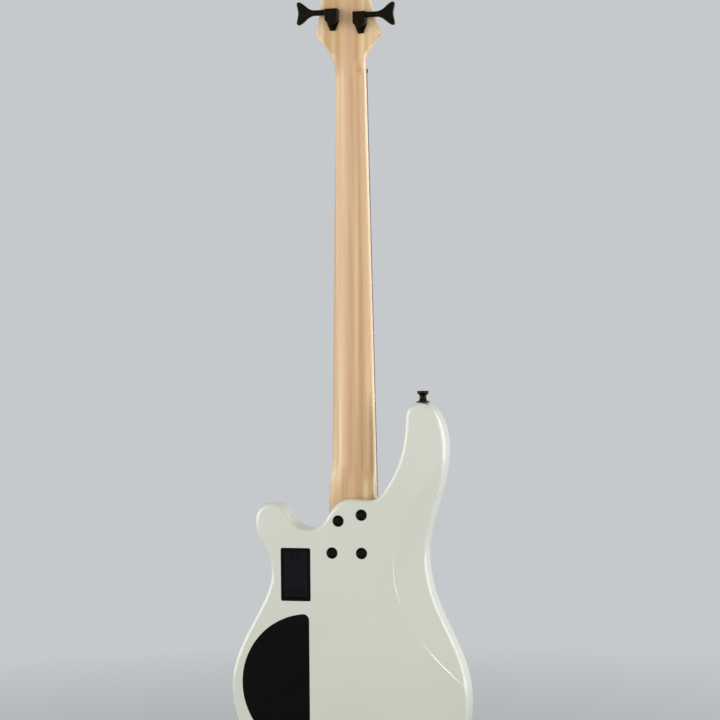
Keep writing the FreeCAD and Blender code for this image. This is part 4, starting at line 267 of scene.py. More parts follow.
class BASS_OT_wood(bpy.types.Operator):
    """Satin maple neck with growth rings and a rosy heart, and an open-pored dark fingerboard."""

    bl_idname = "bass.wood"
    bl_label = "Finish the neck and fingerboard"

    def execute(self, context):
        finish = context.scene.bass_finish
        self.maple(finish)
        self.rosewood(finish)
        return {"FINISHED"}

    def maple(self, finish):
        """Maple, planed and sprayed with thin satin lacquer.

        It is rosy in the middle and paler at the sides. This is partly a real tone and partly painted light:
        the paler sides stand in for the light of the side lamps. It has long fine fibres and a soft shine
        along its rims.
        """
        tree, place = new_finish("satin_maple")
        grown = (per_metre(14), per_metre(14), per_metre(900))
        drawn = add(tree, "ShaderNodeMapping", {"Vector": place, "Scale": grown})
        rings = add(
            tree,
            "ShaderNodeTexWave",
            {
                "Vector": drawn.outputs[0],
                "Scale": 0.5,
                "Distortion": 6.0,
                "Detail": 3.0,
                "Detail Scale": 0.7,
            },
            bands_direction="X",
        )
        fibre = along_neck(tree, place, 0.7, 60, 4.0)
        board = along_neck(tree, place, 9, 420, 1.5)
        heart = along_neck(tree, place, 11, 260, 1.0)
        fleck = along_neck(tree, place, 0.8, 9, 1.0)

        # The rosy tone is strongest within 5 mm of the middle and nearly gone 17 mm from it. It is partly
        # heartwood and partly painted light: the sides are kept paler as if lit by the side lamps.
        across = add(tree, "ShaderNodeSeparateXYZ", {0: place})
        off_centre = add(tree, "ShaderNodeMath", {0: across.outputs["X"]}, operation="ABSOLUTE")
        stripe_inputs = {0: off_centre.outputs[0], 1: 5 * MM, 2: 17 * MM, 3: 1.0, 4: 0.15}
        middle_tone_and_painted_side_light = add(tree, "ShaderNodeMapRange", stripe_inputs)
        patchy = add(tree, "ShaderNodeMapRange", {0: heart, **NOISE_SPAN, 3: 0.2, 4: 0.8})
        factors = {0: middle_tone_and_painted_side_light.outputs[0], 1: patchy.outputs[0]}
        rosy_middle_and_painted_side_light = add(tree, "ShaderNodeMath", factors, operation="MULTIPLY")

        ringed = add(tree, "ShaderNodeMapRange", {0: rings.outputs["Fac"], **NOISE_SPAN, 3: 0.0, 4: 0.12})
        fibred = add(tree, "ShaderNodeMapRange", {0: fibre, **NOISE_SPAN, 3: 0.0, 4: 0.24})
        layers = ((rosy_middle_and_painted_side_light, finish.maple_pink), (ringed, finish.maple_dark), (fibred, finish.maple_light))
        shade = ramp(tree, board, tuple(finish.maple), tuple(finish.maple_light), {1: 0.40, 2: 0.64})
        for share, over in layers:
            inputs = {"Factor": share.outputs[0], "A": shade, "B": tuple(over)}
            shade = add(tree, "ShaderNodeMix", inputs, data_type="RGBA").outputs["Result"]
        rough = add(tree, "ShaderNodeMapRange", {0: fibre, **NOISE_SPAN, 3: 0.40, 4: 0.50})
        close_finish(
            tree,
            {
                "Base Color": ramp(tree, fleck, shade, tuple(finish.maple_dark), {1: 0.70, 2: 0.95}),
                "Roughness": rough.outputs[0],
                "IOR": 1.5,
                "Coat Weight": 0.6,
                "Coat Roughness": 0.24,
            },
            (fibre, 0.12, 0.05 * MM),
        )
        dress("satin_maple", "neck")

    def rosewood(self, finish):
        """Rosewood, oiled and unfilled: dark, streaked with red, its short pores open and dull."""
        base = tuple(finish.rosewood)
        red = tinted(base, 1.9, 1.6, 1.35)
        dark = tinted(base, 0.35, 0.3, 0.3)
        tree, place = new_finish("open_pored_rosewood")
        streak = along_neck(tree, place, 2.6, 150, 4.0)
        pore = along_neck(tree, place, 0.35, 7, 1.0)
        streaked = ramp(tree, streak, base, red, {1: 0.38, 2: 0.66})
        rough = add(tree, "ShaderNodeMapRange", {0: streak, **NOISE_SPAN, 3: 0.5, 4: 0.62})
        close_finish(
            tree,
            {
                "Base Color": ramp(tree, pore, streaked, dark, {1: 0.58, 2: 0.70}),
                "Roughness": rough.outputs[0],
                "IOR": 1.5,
            },
            (pore, 0.25, -0.1 * MM),
        )
        dress("open_pored_rosewood", "fingerboard")


class BASS_OT_hardware(bpy.types.Operator):
    """Black-plated die-cast hardware, rubbed at its edges, bare steel, nickel frets and wound strings."""

    bl_idname = "bass.hardware"
    bl_label = "Finish the metal parts"

    def execute(self, context):
        self.plated(context.scene.bass_finish)
        # Drawn steel, bare: grey, with faint lines along it.
        steel = ("#8f8f8e", "#b4b3b0")
        self.bare("drawn_steel", (0.3, 20, 2.0), steel, (0.30, 0.42), ("truss_rod", "pots"))
        # Nickel silver, drawn and polished: bright, with fine lines along each fret.
        nickel_silver = ("#b9b5a9", "#d3cfc4")
        self.bare("nickel_silver", (4, 0.4, 2.0), nickel_silver, (0.16, 0.30), ("frets",))
        # Steel wrapped in nickel wire: bright ribs that are dulled here and there by handling.
        nickel = ("#8d8a84", "#bdbab4")
        strings = [f"string_{name}" for name in STRINGS]
        self.bare("nickel_round_wound", (5, 40, 3.0), nickel, (0.28, 0.42), strings, wrap_mm=6.17)
        return {"FINISHED"}

    def plated(self, finish):
        """Cast zinc, plated black: a dark sheen with a fine grit, greyer where hands rub its edges."""
        tree, place = new_finish("black_plated_zinc")
        wear, soft = rubbed_edges(tree, place, 0.5)
        smear = add(tree, "ShaderNodeTexNoise", {"Vector": place, "Scale": per_metre(6), "Detail": 5.0})
        grit = add(tree, "ShaderNodeTexNoise", {"Vector": place, "Scale": per_metre(0.5), "Detail": 2.0})
        bump = {"Height": grit.outputs[0], "Strength": 0.12, "Distance": 0.03 * MM, "Normal": soft}
        relief = add(tree, "ShaderNodeBump", bump)
        rough = add(tree, "ShaderNodeMapRange", {0: smear.outputs[0], **NOISE_SPAN, 3: 0.26, 4: 0.40})
        close_finish(
            tree,
            {
                "Base Color": ramp(tree, wear, tuple(finish.hardware), tuple(finish.wear), WHOLE_SPAN),
                "Roughness": rough.outputs[0],
                "Metallic": 1.0,
                "Normal": relief.outputs["Normal"],
            },
        )
        for part in ("tuner_housing", "tuner_key", "tuner_post", "saddle", "saddle_screws"):
            dress("black_plated_zinc", *[f"{part}_{name}" for name in STRINGS])
        dress("black_plated_zinc", "tuner_bushings", "string_retainer", "bridge_plate", "intonation_screws")
        dress("black_plated_zinc", "neck_ferrules", "neck_screws", "strap_buttons", "output_jack")

    def bare(self, name, lines, tones, rough_span, nodes, wrap_mm=None):
        """Bare metal between two tones, with lines of (across, along, detail), and ribs if it is wrapped.

        The wrap of a string is about 0.4 mm wide. It is drawn 6 mm wide, because a finer one doesn't
        show at the picture's scale. A wave of scale 1 repeats 20 times in 2 pi units.
        """
        tree, place = new_finish(name)
        drawn = along_neck(tree, place, *lines)
        bump = None
        if wrap_mm is not None:
            inputs = {"Vector": place, "Scale": per_metre(wrap_mm) * math.tau / 20}
            wrap = add(tree, "ShaderNodeTexWave", inputs, bands_direction="Z")
            bump = (wrap.outputs["Fac"], 0.6, 0.15 * MM)
        smooth, dull = rough_span
        rough = add(tree, "ShaderNodeMapRange", {0: drawn, **NOISE_SPAN, 3: smooth, 4: dull})
        close_finish(
            tree,
            {
                "Base Color": ramp(tree, drawn, *map(linear, tones)),
                "Roughness": rough.outputs[0],
                "Metallic": 1.0,
            },
            bump,
        )
        dress(name, *nodes)


class BASS_OT_plastics(bpy.types.Operator):
    """Moulded plastics, pearl markers, felt, foam, leads, circuit board and battery."""

    bl_idname = "bass.plastics"
    bl_label = "Finish the plastics and small parts"

    def execute(self, context):
        finish = context.scene.bass_finish
        black = ("control_cover", "battery_box", "truss_rod_cover", "neck_pickup", "bridge_pickup", "nut")
        self.moulded("moulded_black_abs", finish.plastic, 0.05, black)
        self.moulded("moulded_blue_black_abs", finish.lid, 0.08, ("battery_tray",))
        self.pearl()
        # Name, dark and pale tone, size of the mottling in mm, roughness, relief, nodes.
        small_parts = (
            # Wool felt, pressed: matt and fuzzy, with no shine.
            ("pressed_felt", "#141414", "#2b2b2a", 0.6, 0.95, 0.3, ("strap_button_felts",)),
            # Open-cell foam: matt, with a grain of small holes.
            ("open_cell_foam", "#1d1d1d", "#3a3a39", 1.2, 0.95, 0.5, ("pickup_foams",)),
            # Silicone, drawn over wire: smooth and dull.
            ("silicone_lead", "#151515", "#232322", 2.0, 0.6, 0.1, ("wiring",)),
            # Glass and epoxy under green resist: smooth and a little glossy.
            ("epoxy_board", "#123a22", "#1c5233", 3.0, 0.35, 0.1, ("preamp_board",)),
            # Coated steel jacket: plain dark grey with a slight sheen.
            ("battery_jacket", "#2b2c2e", "#3d3e40", 4.0, 0.4, 0.1, ("battery",)),
        )
        for part in small_parts:
            self.mottled(*part)
        return {"FINISHED"}

    def moulded(self, name, shade, gloss, nodes):
        """ABS, moulded against a spark-eroded surface: a dull black that greys a little along its edges."""
        base = tuple(shade)
        dust = tinted(base, 1.8, 1.8, 1.9)
        tree, place = new_finish(name)
        wear, soft = rubbed_edges(tree, place, 0.4)
        # The grain of the mould is about 0.3 mm; it is drawn at 0.8 mm so that it shows.
        pitted = {"Vector": place, "Scale": per_metre(0.8)}
        grain = add(tree, "ShaderNodeTexVoronoi", pitted, feature="SMOOTH_F1")
        handling = add(tree, "ShaderNodeTexNoise", {"Vector": place, "Scale": per_metre(18), "Detail": 4.0})
        dusty = ramp(tree, handling.outputs[0], base, dust, {1: 0.4, 2: 0.75})
        bump = {"Height": grain.outputs["Distance"], "Strength": 0.2, "Distance": 0.06 * MM, "Normal": soft}
        relief = add(tree, "ShaderNodeBump", bump)
        rough = add(tree, "ShaderNodeMapRange", {0: handling.outputs[0], **NOISE_SPAN, 3: 0.42, 4: 0.56})
        close_finish(
            tree,
            {
                "Base Color": ramp(tree, wear, dusty, linear("#2c2c2a"), WHOLE_SPAN),
                "Roughness": rough.outputs[0],
                "IOR": 1.54,
                "Specular IOR Level": gloss,
                "Normal": relief.outputs["Normal"],
            },
        )
        dress(name, *nodes)

    def pearl(self):
        """Acrylic, cast with pearl: milky swirls under a clear shine."""
        tree, place = new_finish("pearl_acrylic")
        swirled = {"Vector": place, "Scale": per_metre(3), "Distortion": 2.5}
        swirl = add(tree, "ShaderNodeTexNoise", swirled).outputs[0]
        rough = add(tree, "ShaderNodeMapRange", {0: swirl, **NOISE_SPAN, 3: 0.15, 4: 0.25})
        close_finish(
            tree,
            {
                "Base Color": ramp(tree, swirl, linear("#c9c6bc"), linear("#f1efe8")),
                "Roughness": rough.outputs[0],
                "IOR": 1.49,
                "Coat Weight": 0.5,
                "Coat Roughness": 0.05,
            },
        )
        dress("pearl_acrylic", "position_markers")

    def mottled(self, name, dark, pale, size_mm, roughness, strength, nodes):
        """Plain stuff between two tones, with a relief of the same mottling."""
        tree, place = new_finish(name)
        mottle = {"Vector": place, "Scale": per_metre(size_mm), "Detail": 6.0}
        fuzz = add(tree, "ShaderNodeTexNoise", mottle).outputs[0]
        close_finish(
            tree,
            {
                "Base Color": ramp(tree, fuzz, linear(dark), linear(pale), {1: 0.35, 2: 0.65}),
                "Roughness": roughness,
                "IOR": 1.5,
            },
            (fuzz, strength, 0.3 * MM),
        )
        dress(name, *nodes)


def islands(node):
    """Points of each separate solid of a node.

    Equal points merge, then the lowest label spreads over faces until nothing changes.
    """
    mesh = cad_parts[node].data
    points = np.empty(len(mesh.vertices) * 3, np.float32)
    mesh.vertices.foreach_get("co", points)
    points = points.reshape(-1, 3)
    corners = np.empty(len(mesh.loops), np.int32)
    mesh.loops.foreach_get("vertex_index", corners)
    merged = np.unique(np.round(points, 6), axis=0, return_inverse=True)[1].ravel()
    faces = merged[corners].reshape(-1, 3)
    label = np.arange(merged.max() + 1)
    while True:
        lowest = label.copy()
        np.minimum.at(lowest, faces.ravel(), np.repeat(label[faces].min(axis=1), 3))
        lowest = lowest[lowest]
        if (lowest == label).all():
            break
        label = lowest
    owner = label[merged]
    return [points[owner == one].astype(float) for one in np.unique(owner)]


def even_angles(count):
    """Angles of a full turn in even steps, without the last, which is the first again."""
    return np.arange(count) * (math.tau / count)


def signed_power(values, power):
    """Power of the sizes, with the signs kept."""
    return np.sign(values) * abs(values) ** power


def rows(*stations, steps=6):
    """Profile through (radius, height) stations with even steps between them."""
    share = np.linspace(0, 1, steps, endpoint=False)[:, None]
    stations = np.array(stations, float)
    runs = [a + (b - a) * share for a, b in zip(stations, stations[1:])]
    return np.concatenate(runs + [stations[-1:]])


def lathe(profile, columns, shape=None):
    """Points, quads and triangles of a closed surface of revolution about +Y.

    The profile has (radius, height) rows whose ends are poles. shape takes radius, height and angle
    of every ring point and returns a new radius and height, and the first pole sinks as its ring does.
    """
    angle = even_angles(columns)
    radius = np.repeat(profile[1:-1, :1], columns, axis=1)
    height = np.repeat(profile[1:-1, 1:], columns, axis=1)
    if shape is not None:
        radius, height = shape(radius, height, angle[None, :])
    rings = np.stack([radius * np.cos(angle), height, radius * np.sin(angle)], axis=-1)
    pole_drop = height[0].mean() - profile[1, 1]
    first = [[0, profile[0, 1] + pole_drop, 0]]
    last = [[0, profile[-1, 1], 0]]
    points = np.concatenate([first, rings.reshape(-1, 3), last])
    index = 1 + np.arange(rings.shape[0] * columns).reshape(-1, columns)
    right = np.roll(index, -1, axis=1)
    quads = np.stack([index[:-1], right[:-1], right[1:], index[1:]], axis=-1).reshape(-1, 4)
    top = np.stack([np.zeros(columns, int), right[0], index[0]], axis=-1)
    low = np.stack([np.full(columns, len(points) - 1), index[-1], right[-1]], axis=-1)
    return points, quads, np.concatenate([top, low])


def rounded_bar(half, power=0.35, stacks=12, columns=24):
    """Superellipsoid: each coordinate is its half size times signed powers of sines and cosines."""
    polar = np.linspace(-math.pi / 2, math.pi / 2, stacks + 1)
    waist = np.cos(polar) ** power
    waist[[0, -1]] = 0
    tall = signed_power(np.sin(polar), power)
    points, quads, triangles = lathe(np.stack([waist, tall], axis=-1), columns)
    flat = np.hypot(points[:, 0], points[:, 2])
    safe = np.where(flat > 0, flat, 1)
    x = flat * signed_power(points[:, 0] / safe, power)
    z = flat * signed_power(points[:, 2] / safe, power)
    return np.stack([x, points[:, 1], z], axis=-1) * half, quads, triangles


def signed_volume(points, quads, triangles):
    """Volume of a closed surface, a sixth of its triangles' triple products: negative if they face in."""
    halves = np.concatenate([quads[:, [0, 1, 2]], quads[:, [0, 2, 3]], triangles])
    a, b, c = points[halves].transpose(1, 0, 2)
    return np.einsum("ij,ij->i", a, np.cross(b, c)).sum() / 6


def piece(name, surfaces, finish, body, replaced=()):
    """One object of several closed surfaces that rides on a body and may stand for CAD nodes."""
    points = []
    quads = []
    triangles = []
    count = 0
    for some_points, some_quads, some_triangles in surfaces:
        way = 1 if signed_volume(some_points, some_quads, some_triangles) > 0 else -1
        points.append(some_points)
        quads.append(some_quads[:, ::way] + count)
        triangles.append(some_triangles[:, ::way] + count)
        count += len(some_points)
    faces = np.concatenate(quads).tolist() + np.concatenate(triangles).tolist()
    mesh = bpy.data.meshes.new(name)
    mesh.from_pydata(np.concatenate(points).tolist(), [], faces)
    mesh.shade_smooth()
    mesh.set_sharp_from_angle(angle=SHARP_TURN)
    mesh.materials.append(FINISHES[finish])
    thing = bpy.data.objects.new(name, mesh)
    bpy.context.scene.collection.objects.link(thing)
    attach(thing, body)
    if replaced:
        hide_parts(*replaced)


class BASS_OT_screws(bpy.types.Operator):
    """Small screws with a cross recess, each in the place of a plain one."""

    bl_idname = "bass.screws"
    bl_label = "Make the cross-head screws"

    nodes = (
        "control_cover_screws",
        "headstock_screws",
        "bridge_screws",
        "pickup_screws",
        "strap_button_screws",
    )
    columns = 48
    # Share of a screw's length in which its head or its tip is looked for.
    end_share = 0.2
    # Over the radius of the head: its crown's height, and an arm's half width and reach with their fades.
    crown = 0.12
    slot_half = 0.17
    slot_fade = 0.05
    arm_reach = 0.68
    arm_fade = 0.12
    # Share of the recess that is lost from the middle to the rim.
    arm_rise = 0.4

    def execute(self, context):
        depth = context.scene.bass_fittings.recess_depth
        for node in self.nodes:
            parts = [self.one(points, depth) for points in islands(node)]
            name = node.rstrip("s") + "_set"
            piece(name, parts, "black_plated_zinc", "instrument", (node,))
        return {"FINISHED"}

    def one(self, points, depth):
        """A screw along its longest side whose head is at the end with the wider ring.

        The recess is a cross of two slots whose depth fades towards the ends of the arms.
        """
        low = points.min(axis=0)
        high = points.max(axis=0)
        axis = int(np.argmax(high - low))
        others = [i for i in range(3) if i != axis]
        centre = (low + high) / 2
        radius = np.hypot(*(points - centre)[:, others].T)
        reach = (high - low)[axis]
        at_low = radius[points[:, axis] < low[axis] + self.end_share * reach].max()
        at_high = radius[points[:, axis] > high[axis] - self.end_share * reach].max()
        head = max(at_low, at_high)
        shank = min(at_low, at_high)
        crown = self.crown * head
        profile = rows(
            (0, 0),
            (0.75 * head, -0.2 * crown),
            (head, -crown),
            (shank, -1.15 * (head - shank) - crown),
            (shank, 2 * shank - reach),
            (0.3 * shank, -reach),
            (0, -reach),
        )

        def crossed(r, y, angle):
            along = np.maximum(abs(np.cos(angle)), abs(np.sin(angle))) * r
            aside = np.minimum(abs(np.cos(angle)), abs(np.sin(angle))) * r
            inside = np.clip((self.slot_half * head - aside) / (self.slot_fade * head), 0, 1)
            within = np.clip((self.arm_reach * head - along) / (self.arm_fade * head), 0, 1)
            on_top = y > -crown
            share = inside * within * (1 - self.arm_rise * along / head) * on_top
            return r, y - depth * head * share

        spun, quads, triangles = lathe(profile, self.columns, crossed)
        way = 1 if at_high > at_low else -1
        placed = np.empty_like(spun)
        placed[:, axis] = (high if way > 0 else low)[axis] + way * spun[:, 1]
        placed[:, others[0]] = centre[others[0]] + spun[:, 0]
        placed[:, others[1]] = centre[others[1]] + spun[:, 2]
        return placed, quads, triangles


class BASS_OT_knobs(bpy.types.Operator):
    """Turned black knobs with a knurled grip and an inlaid pointer."""

    bl_idname = "bass.knobs"
    bl_label = "Make the knobs"

    # Along the axis: the knob, the hollow and skirt up from its foot, the rest down from its top.
    height = 16 * MM
    hollow = 4 * MM
    skirt = 2.5 * MM
    shoulder = 2.2 * MM
    rim = 0.6 * MM
    dish = 0.4 * MM
    # Half sizes of the pointer, and its distance from the middle over the knob's radius.
    pointer_half = (0.55 * MM, 0.35 * MM, 2.6 * MM)
    pointer_place = 0.42

    def execute(self, context):
        fittings = context.scene.bass_fittings
        self.paint()
        for name in KNOBS:
            body = f"knob_{name}"
            low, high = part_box(body)
            centre = np.array((low + high) / 2)
            radius = (high.x - low.x) / 2
            points, quads, triangles = self.turned(radius, high.y, fittings)
            grip = [(points + (centre[0], 0, centre[2]), quads, triangles)]
            piece(f"{name}_knob", grip, "black_plated_zinc", body, (body,))
            points, quads, triangles = rounded_bar(self.pointer_half)
            ahead = centre[2] + self.pointer_place * radius
            inlay = [(points + (centre[0], high.y - self.pointer_half[1], ahead), quads, triangles)]
            piece(f"{name}_knob_pointer", inlay, "pointer_paint", body)
        return {"FINISHED"}

    def paint(self):
        """Enamel, wiped into a groove: matt off-white, thin in places."""
        tree, place = new_finish("pointer_paint")
        rub = add(tree, "ShaderNodeTexNoise", {"Vector": place, "Scale": per_metre(1.5), "Detail": 4.0})
        tones = (linear("#b9b7ae"), linear("#e9e7df"))
        shade = ramp(tree, rub.outputs[0], *tones, {1: 0.35, 2: 0.6})
        close_finish(tree, {"Base Color": shade, "Roughness": 0.45, "IOR": 1.5})

    def turned(self, radius, top, fittings):
        """A knob about Y with a hollow foot, a smooth skirt and a dished top.

        Between skirt and shoulder the radius loses the knurl's depth times one less a rectified sine
        of the angle.
        """
        foot = top - self.height
        profile = rows(
            (0, foot + self.hollow),
            (0.66 * radius, foot + self.hollow),
            (0.7 * radius, foot),
            (radius, foot),
            (0.985 * radius, foot + self.skirt),
            (0.94 * radius, top - self.shoulder),
            (0.90 * radius, top - self.rim),
            (0.84 * radius, top),
            (0.78 * radius, top),
            (0.72 * radius, top - self.dish),
            (0, top - self.dish),
        )

        def knurled(r, y, angle):
            above = np.clip((y - foot - self.skirt) / MM, 0, 1)
            below = np.clip((top - self.shoulder - y) / MM, 0, 1)
            grip = above * below * (r > 0.9 * radius)
            ridge = abs(np.sin(angle * fittings.knurl_count / 2))
            return r - fittings.knurl_depth * grip * (1 - ridge), y

        return lathe(profile, 4 * fittings.knurl_count, knurled)


class BASS_OT_felts(bpy.types.Operator):
    """Felt washers under the strap buttons, swollen at the rim and cut a little unevenly."""

    bl_idname = "bass.felts"
    bl_label = "Make the felt washers"

    section_steps = 24
    columns = 96
    squareness = 0.4
    unevenness = 0.015

    def execute(self, context):
        parts = [self.one(points) for points in islands("strap_button_felts")]
        piece("strap_button_felt_pair", parts, "pressed_felt", "instrument", ("strap_button_felts",))
        return {"FINISHED"}

    def one(self, points):
        """A squared oval section carried round a circle about Z.

        Its sides are powers of sine and cosine. The rim's radius wavers by three sines of the angle.
        """
        low = points.min(axis=0)
        high = points.max(axis=0)
        centre = (low + high) / 2
        away = np.hypot(*(points - centre)[:, :2].T)
        inner = away.min()
        angle = even_angles(self.columns)
        waver = (np.sin(3 * angle + 0.4) + np.sin(7 * angle + 1.9) + np.sin(17 * angle)) / 3
        rim = away.max() * (1 - self.unevenness * (1 - waver))
        section = even_angles(self.section_steps)[:, None]
        across = signed_power(np.cos(section), self.squareness)
        up = signed_power(np.sin(section), self.squareness)
        radius = inner + (rim - inner) * (1 + across) / 2
        height = np.broadcast_to((high - low)[2] / 2 * up, radius.shape)
        ring = np.stack([radius * np.cos(angle), radius * np.sin(angle), height], axis=-1)
        index = np.arange(radius.size).reshape(radius.shape)
        after = np.roll(index, -1, axis=0)
        quads = np.stack([index, np.roll(index, -1, axis=1), np.roll(after, -1, axis=1), after], axis=-1)
        return ring.reshape(-1, 3) + centre, quads.reshape(-1, 4), np.empty((0, 3), int)


class BASS_OT_side_dots(bpy.types.Operator):
    """Small dots let into the bass edge of the fingerboard, between the frets that the markers show."""

    bl_idname = "bass.side_dots"
    bl_label = "Make the side dots"

    single_frets = (3, 5, 7, 9, 15, 17, 19, 21)
    double_frets = (12, 24)
    double_shift = 3 * MM
    # Place across the edge, as a share of the fingerboard's depth.
    edge_share = 0.45
    proud = 0.12 * MM
    shoulder = 0.10 * MM
    sunk = 0.5 * MM
    columns = 20

    def execute(self, context):
        radius = context.scene.bass_fittings.side_dot
        spans = np.array([(points[:, 2].min(), points[:, 2].max()) for points in islands("frets")])
        nut_low, nut_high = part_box("nut")
        heights = np.concatenate([[nut_low.z], np.sort(spans.mean(axis=1))[::-1]])
        board_low, board_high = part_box("fingerboard")
        edge_y = board_low.y + self.edge_share * (board_high.y - board_low.y)
        spots = [(fret, 0.0) for fret in self.single_frets]
        spots += [(fret, side * self.double_shift) for fret in self.double_frets for side in (-1, 1)]
        # A dot is a low dome turned about X, midway between two frets, on the straight taper of the edge.
        dome = rows(
            (0, self.proud),
            (0.6 * radius, self.shoulder),
            (radius, 0),
            (radius, -self.sunk),
            (0, -self.sunk),
            steps=3,
        )
        spun, quads, triangles = lathe(dome, self.columns)
        parts = []
        for fret, shift in spots:
            z = (heights[fret - 1] + heights[fret]) / 2 + shift
            share = (nut_low.z - z) / (nut_low.z - board_low.z)
            half = nut_high.x + (board_high.x - nut_high.x) * share
            points = np.stack([half + spun[:, 1], edge_y + spun[:, 2], z + spun[:, 0]], axis=-1)
            parts.append((points, quads, triangles))
        piece("fingerboard_side_dots", parts, "pearl_acrylic", "instrument")
        return {"FINISHED"}


class BASS_OT_studio(bpy.types.Operator):
    """Pale floor and surroundings, soft lamps, and the camera at the picture's angle."""

    bl_idname = "bass.studio"
    bl_label = "Set up the studio"

    # Name, place, width and height in metres, and share of the key power.
    # The two glints are mirrored in the edge of the belly contour.
    lamps = (
        ("key_lamp", (-3.0, -3.4, 0.6), (3.2, 3.2), 1.1),
        ("left_lamp", (-2.8, -0.8, 0.4), (2.8, 2.8), 1.0),
        ("right_lamp", (2.8, -1.3, 0.4), (3.0, 3.0), 1.45),
        ("front_lamp", (2.6, 2.4, 0.9), (2.8, 2.8), 1.2),
        ("upper_glint", (-0.17, -3.39, -0.036), (0.4, 0.15), 0.06),
        ("lower_glint", (0.0, -3.39, 0.2), (0.2, 0.09), 0.022),
    )
    sensor_mm = 36
    floor_radius = 3.0
    floor_rings = 24
    floor_columns = 96
    # Map Range inputs: metres from the middle at which the floor's shadows start to fade and are gone.
    floor_fade = {1: 0.3, 2: 1.5}

    def execute(self, context):
        scene = context.scene
        studio = scene.bass_studio
        scene.view_settings.view_transform = "Standard"
        pale = tuple(studio.background)
        self.surroundings(scene, pale, studio.fill)
        self.floor(scene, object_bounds()[0].z, pale)
        self.light(scene, Vector(studio.aim), studio.key)
        self.shoot(scene, Vector(studio.aim), studio)
        return {"FINISHED"}

    def light(self, scene, aim, power):
        """Area lamps that face the middle of the picture."""
        for name, place, (width, height), share in self.lamps:
            data = bpy.data.lights.new(name, "AREA")
            data.energy = power * share
            data.shape = "RECTANGLE"
            data.size = width
            data.size_y = height
            lamp = bpy.data.objects.new(name, data)
            lamp.location = place
            lamp.rotation_euler = (aim - Vector(place)).to_track_quat("-Z", "Y").to_euler()
            scene.collection.objects.link(lamp)

    def shoot(self, scene, aim, studio):
        """Camera level with its aim, behind the instrument and round to the bass side."""
        data = bpy.data.cameras.new("camera")
        data.lens = studio.lens
        data.sensor_width = self.sensor_mm
        camera = bpy.data.objects.new("camera", data)
        back = Vector((math.sin(studio.azimuth), -math.cos(studio.azimuth), 0))
        camera.location = aim + back * studio.distance
        camera.rotation_mode = "QUATERNION"
        level = (-back).to_track_quat("-Z", "Y")
        camera.rotation_quaternion = level @ Quaternion((0, 0, 1), studio.roll)
        scene.collection.objects.link(camera)
        scene.camera = camera

    def surroundings(self, scene, pale, fill):
        """World that looks pale to the eye and to reflections, and lights the object softly."""
        world = bpy.data.worlds.new("studio")
        world.use_nodes = True
        tree = world.node_tree
        tree.nodes.clear()
        path = add(tree, "ShaderNodeLightPath")
        shown = path.outputs["Is Camera Ray"]
        for ray in ("Is Glossy Ray", "Is Transmission Ray"):
            either = {0: shown, 1: path.outputs[ray]}
            shown = add(tree, "ShaderNodeMath", either, operation="MAXIMUM").outputs[0]
        light = add(tree, "ShaderNodeBackground", {"Color": linear("#f4f5f6"), "Strength": fill})
        view = add(tree, "ShaderNodeBackground", {"Color": pale, "Strength": 1.0})
        both = add(tree, "ShaderNodeMixShader", {0: shown, 1: light.outputs[0], 2: view.outputs[0]})
        add(tree, "ShaderNodeOutputWorld", {"Surface": both.outputs[0]})
        scene.world = world

    def floor(self, scene, level, pale):
        """Disc of even rings under the object, which fades into the surroundings towards its rim."""
        tree, place = new_finish("studio_floor")
        away = add(tree, "ShaderNodeVectorMath", {0: place}, operation="LENGTH")
        fade = add(tree, "ShaderNodeMapRange", {0: away.outputs["Value"], **self.floor_fade, 3: 0.0, 4: 1.0})
        matt = add(tree, "ShaderNodeBsdfDiffuse", {"Color": pale})
        glow = add(tree, "ShaderNodeEmission", {"Color": pale, "Strength": 1.0})
        both = add(tree, "ShaderNodeMixShader", {0: fade.outputs[0], 1: matt.outputs[0], 2: glow.outputs[0]})
        add(tree, "ShaderNodeOutputMaterial", {"Surface": both.outputs[0]})
        radius = np.linspace(0, self.floor_radius, self.floor_rings + 1)[1:, None]
        angle = even_angles(self.floor_columns)
        x = radius * np.cos(angle)
        rings = np.stack([x, radius * np.sin(angle), np.full_like(x, level)], axis=-1)
        points = np.concatenate([[[0, 0, level]], rings.reshape(-1, 3)])
        index = 1 + np.arange(x.size).reshape(x.shape)
        right = np.roll(index, -1, axis=1)
        quads = np.stack([index[:-1], index[1:], right[1:], right[:-1]], axis=-1).reshape(-1, 4)
        fan = np.stack([np.zeros(self.floor_columns, int), index[0], right[0]], axis=-1)
        mesh = bpy.data.meshes.new("studio_floor")
        mesh.from_pydata(points.tolist(), [], quads.tolist() + fan.tolist())
        mesh.materials.append(FINISHES["studio_floor"])
        floor = bpy.data.objects.new("studio_floor", mesh)
        scene.collection.objects.link(floor)
        floor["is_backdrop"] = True


class BASS_PT_panel(bpy.types.Panel):
    """Sidebar panel with the settings and the steps."""

    bl_idname = "BASS_PT_panel"
    bl_label = "Electric bass"
    bl_space_type = "VIEW_3D"
    bl_region_type = "UI"
    bl_category = "Bass"

    def draw(self, context):
        layout = self.layout
        for group in GROUPS:
            settings = getattr(context.scene, group)
            column = layout.column(align=True)
            for name in settings.bl_rna.properties.keys():
                if name not in ("rna_type", "name"):
                    column.prop(settings, name)
        for step in STEPS:
            layout.operator(step.bl_idname)


GROUPS = {
    "bass_finish": BASS_PG_finish,
    "bass_fittings": BASS_PG_fittings,
    "bass_studio": BASS_PG_studio,
}
STEPS = (
    BASS_OT_lacquer,
    BASS_OT_wood,
    BASS_OT_hardware,
    BASS_OT_plastics,
    BASS_OT_screws,
    BASS_OT_knobs,
    BASS_OT_felts,
    BASS_OT_side_dots,
    BASS_OT_studio,
)


def register():
    for thing in (*GROUPS.values(), *STEPS, BASS_PT_panel):
        bpy.utils.register_class(thing)
    for name, group in GROUPS.items():
        setattr(bpy.types.Scene, name, PointerProperty(type=group))


def unregister():
    for name in GROUPS:
        delattr(bpy.types.Scene, name)
    for thing in reversed((*GROUPS.values(), *STEPS, BASS_PT_panel)):
        bpy.utils.unregister_class(thing)


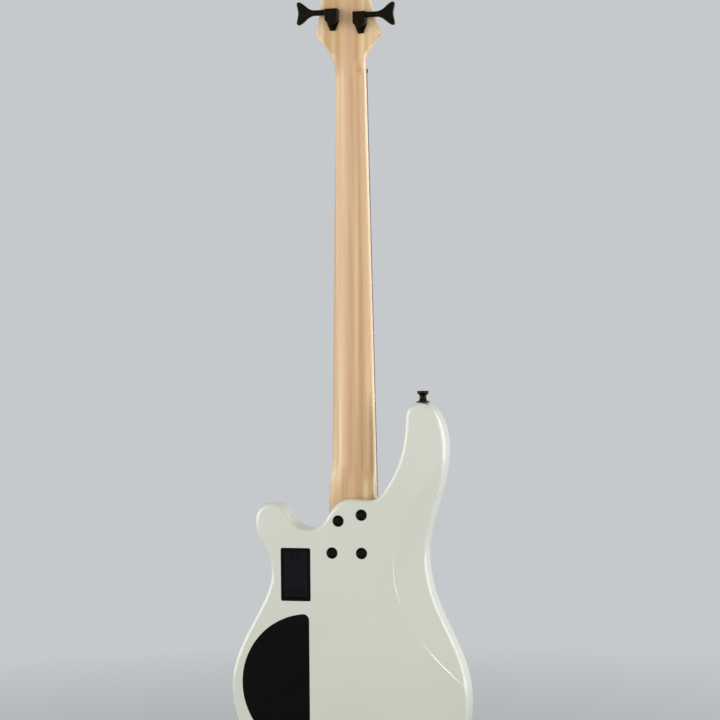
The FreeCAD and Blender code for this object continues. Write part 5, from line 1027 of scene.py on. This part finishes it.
def main():
    register()
    bpy.ops.bass.lacquer()
    bpy.ops.bass.wood()
    bpy.ops.bass.hardware()
    bpy.ops.bass.plastics()
    bpy.ops.bass.screws()
    bpy.ops.bass.knobs()
    bpy.ops.bass.felts()
    bpy.ops.bass.side_dots()
    bpy.ops.bass.studio()


if __name__ == "__main__":
    main()
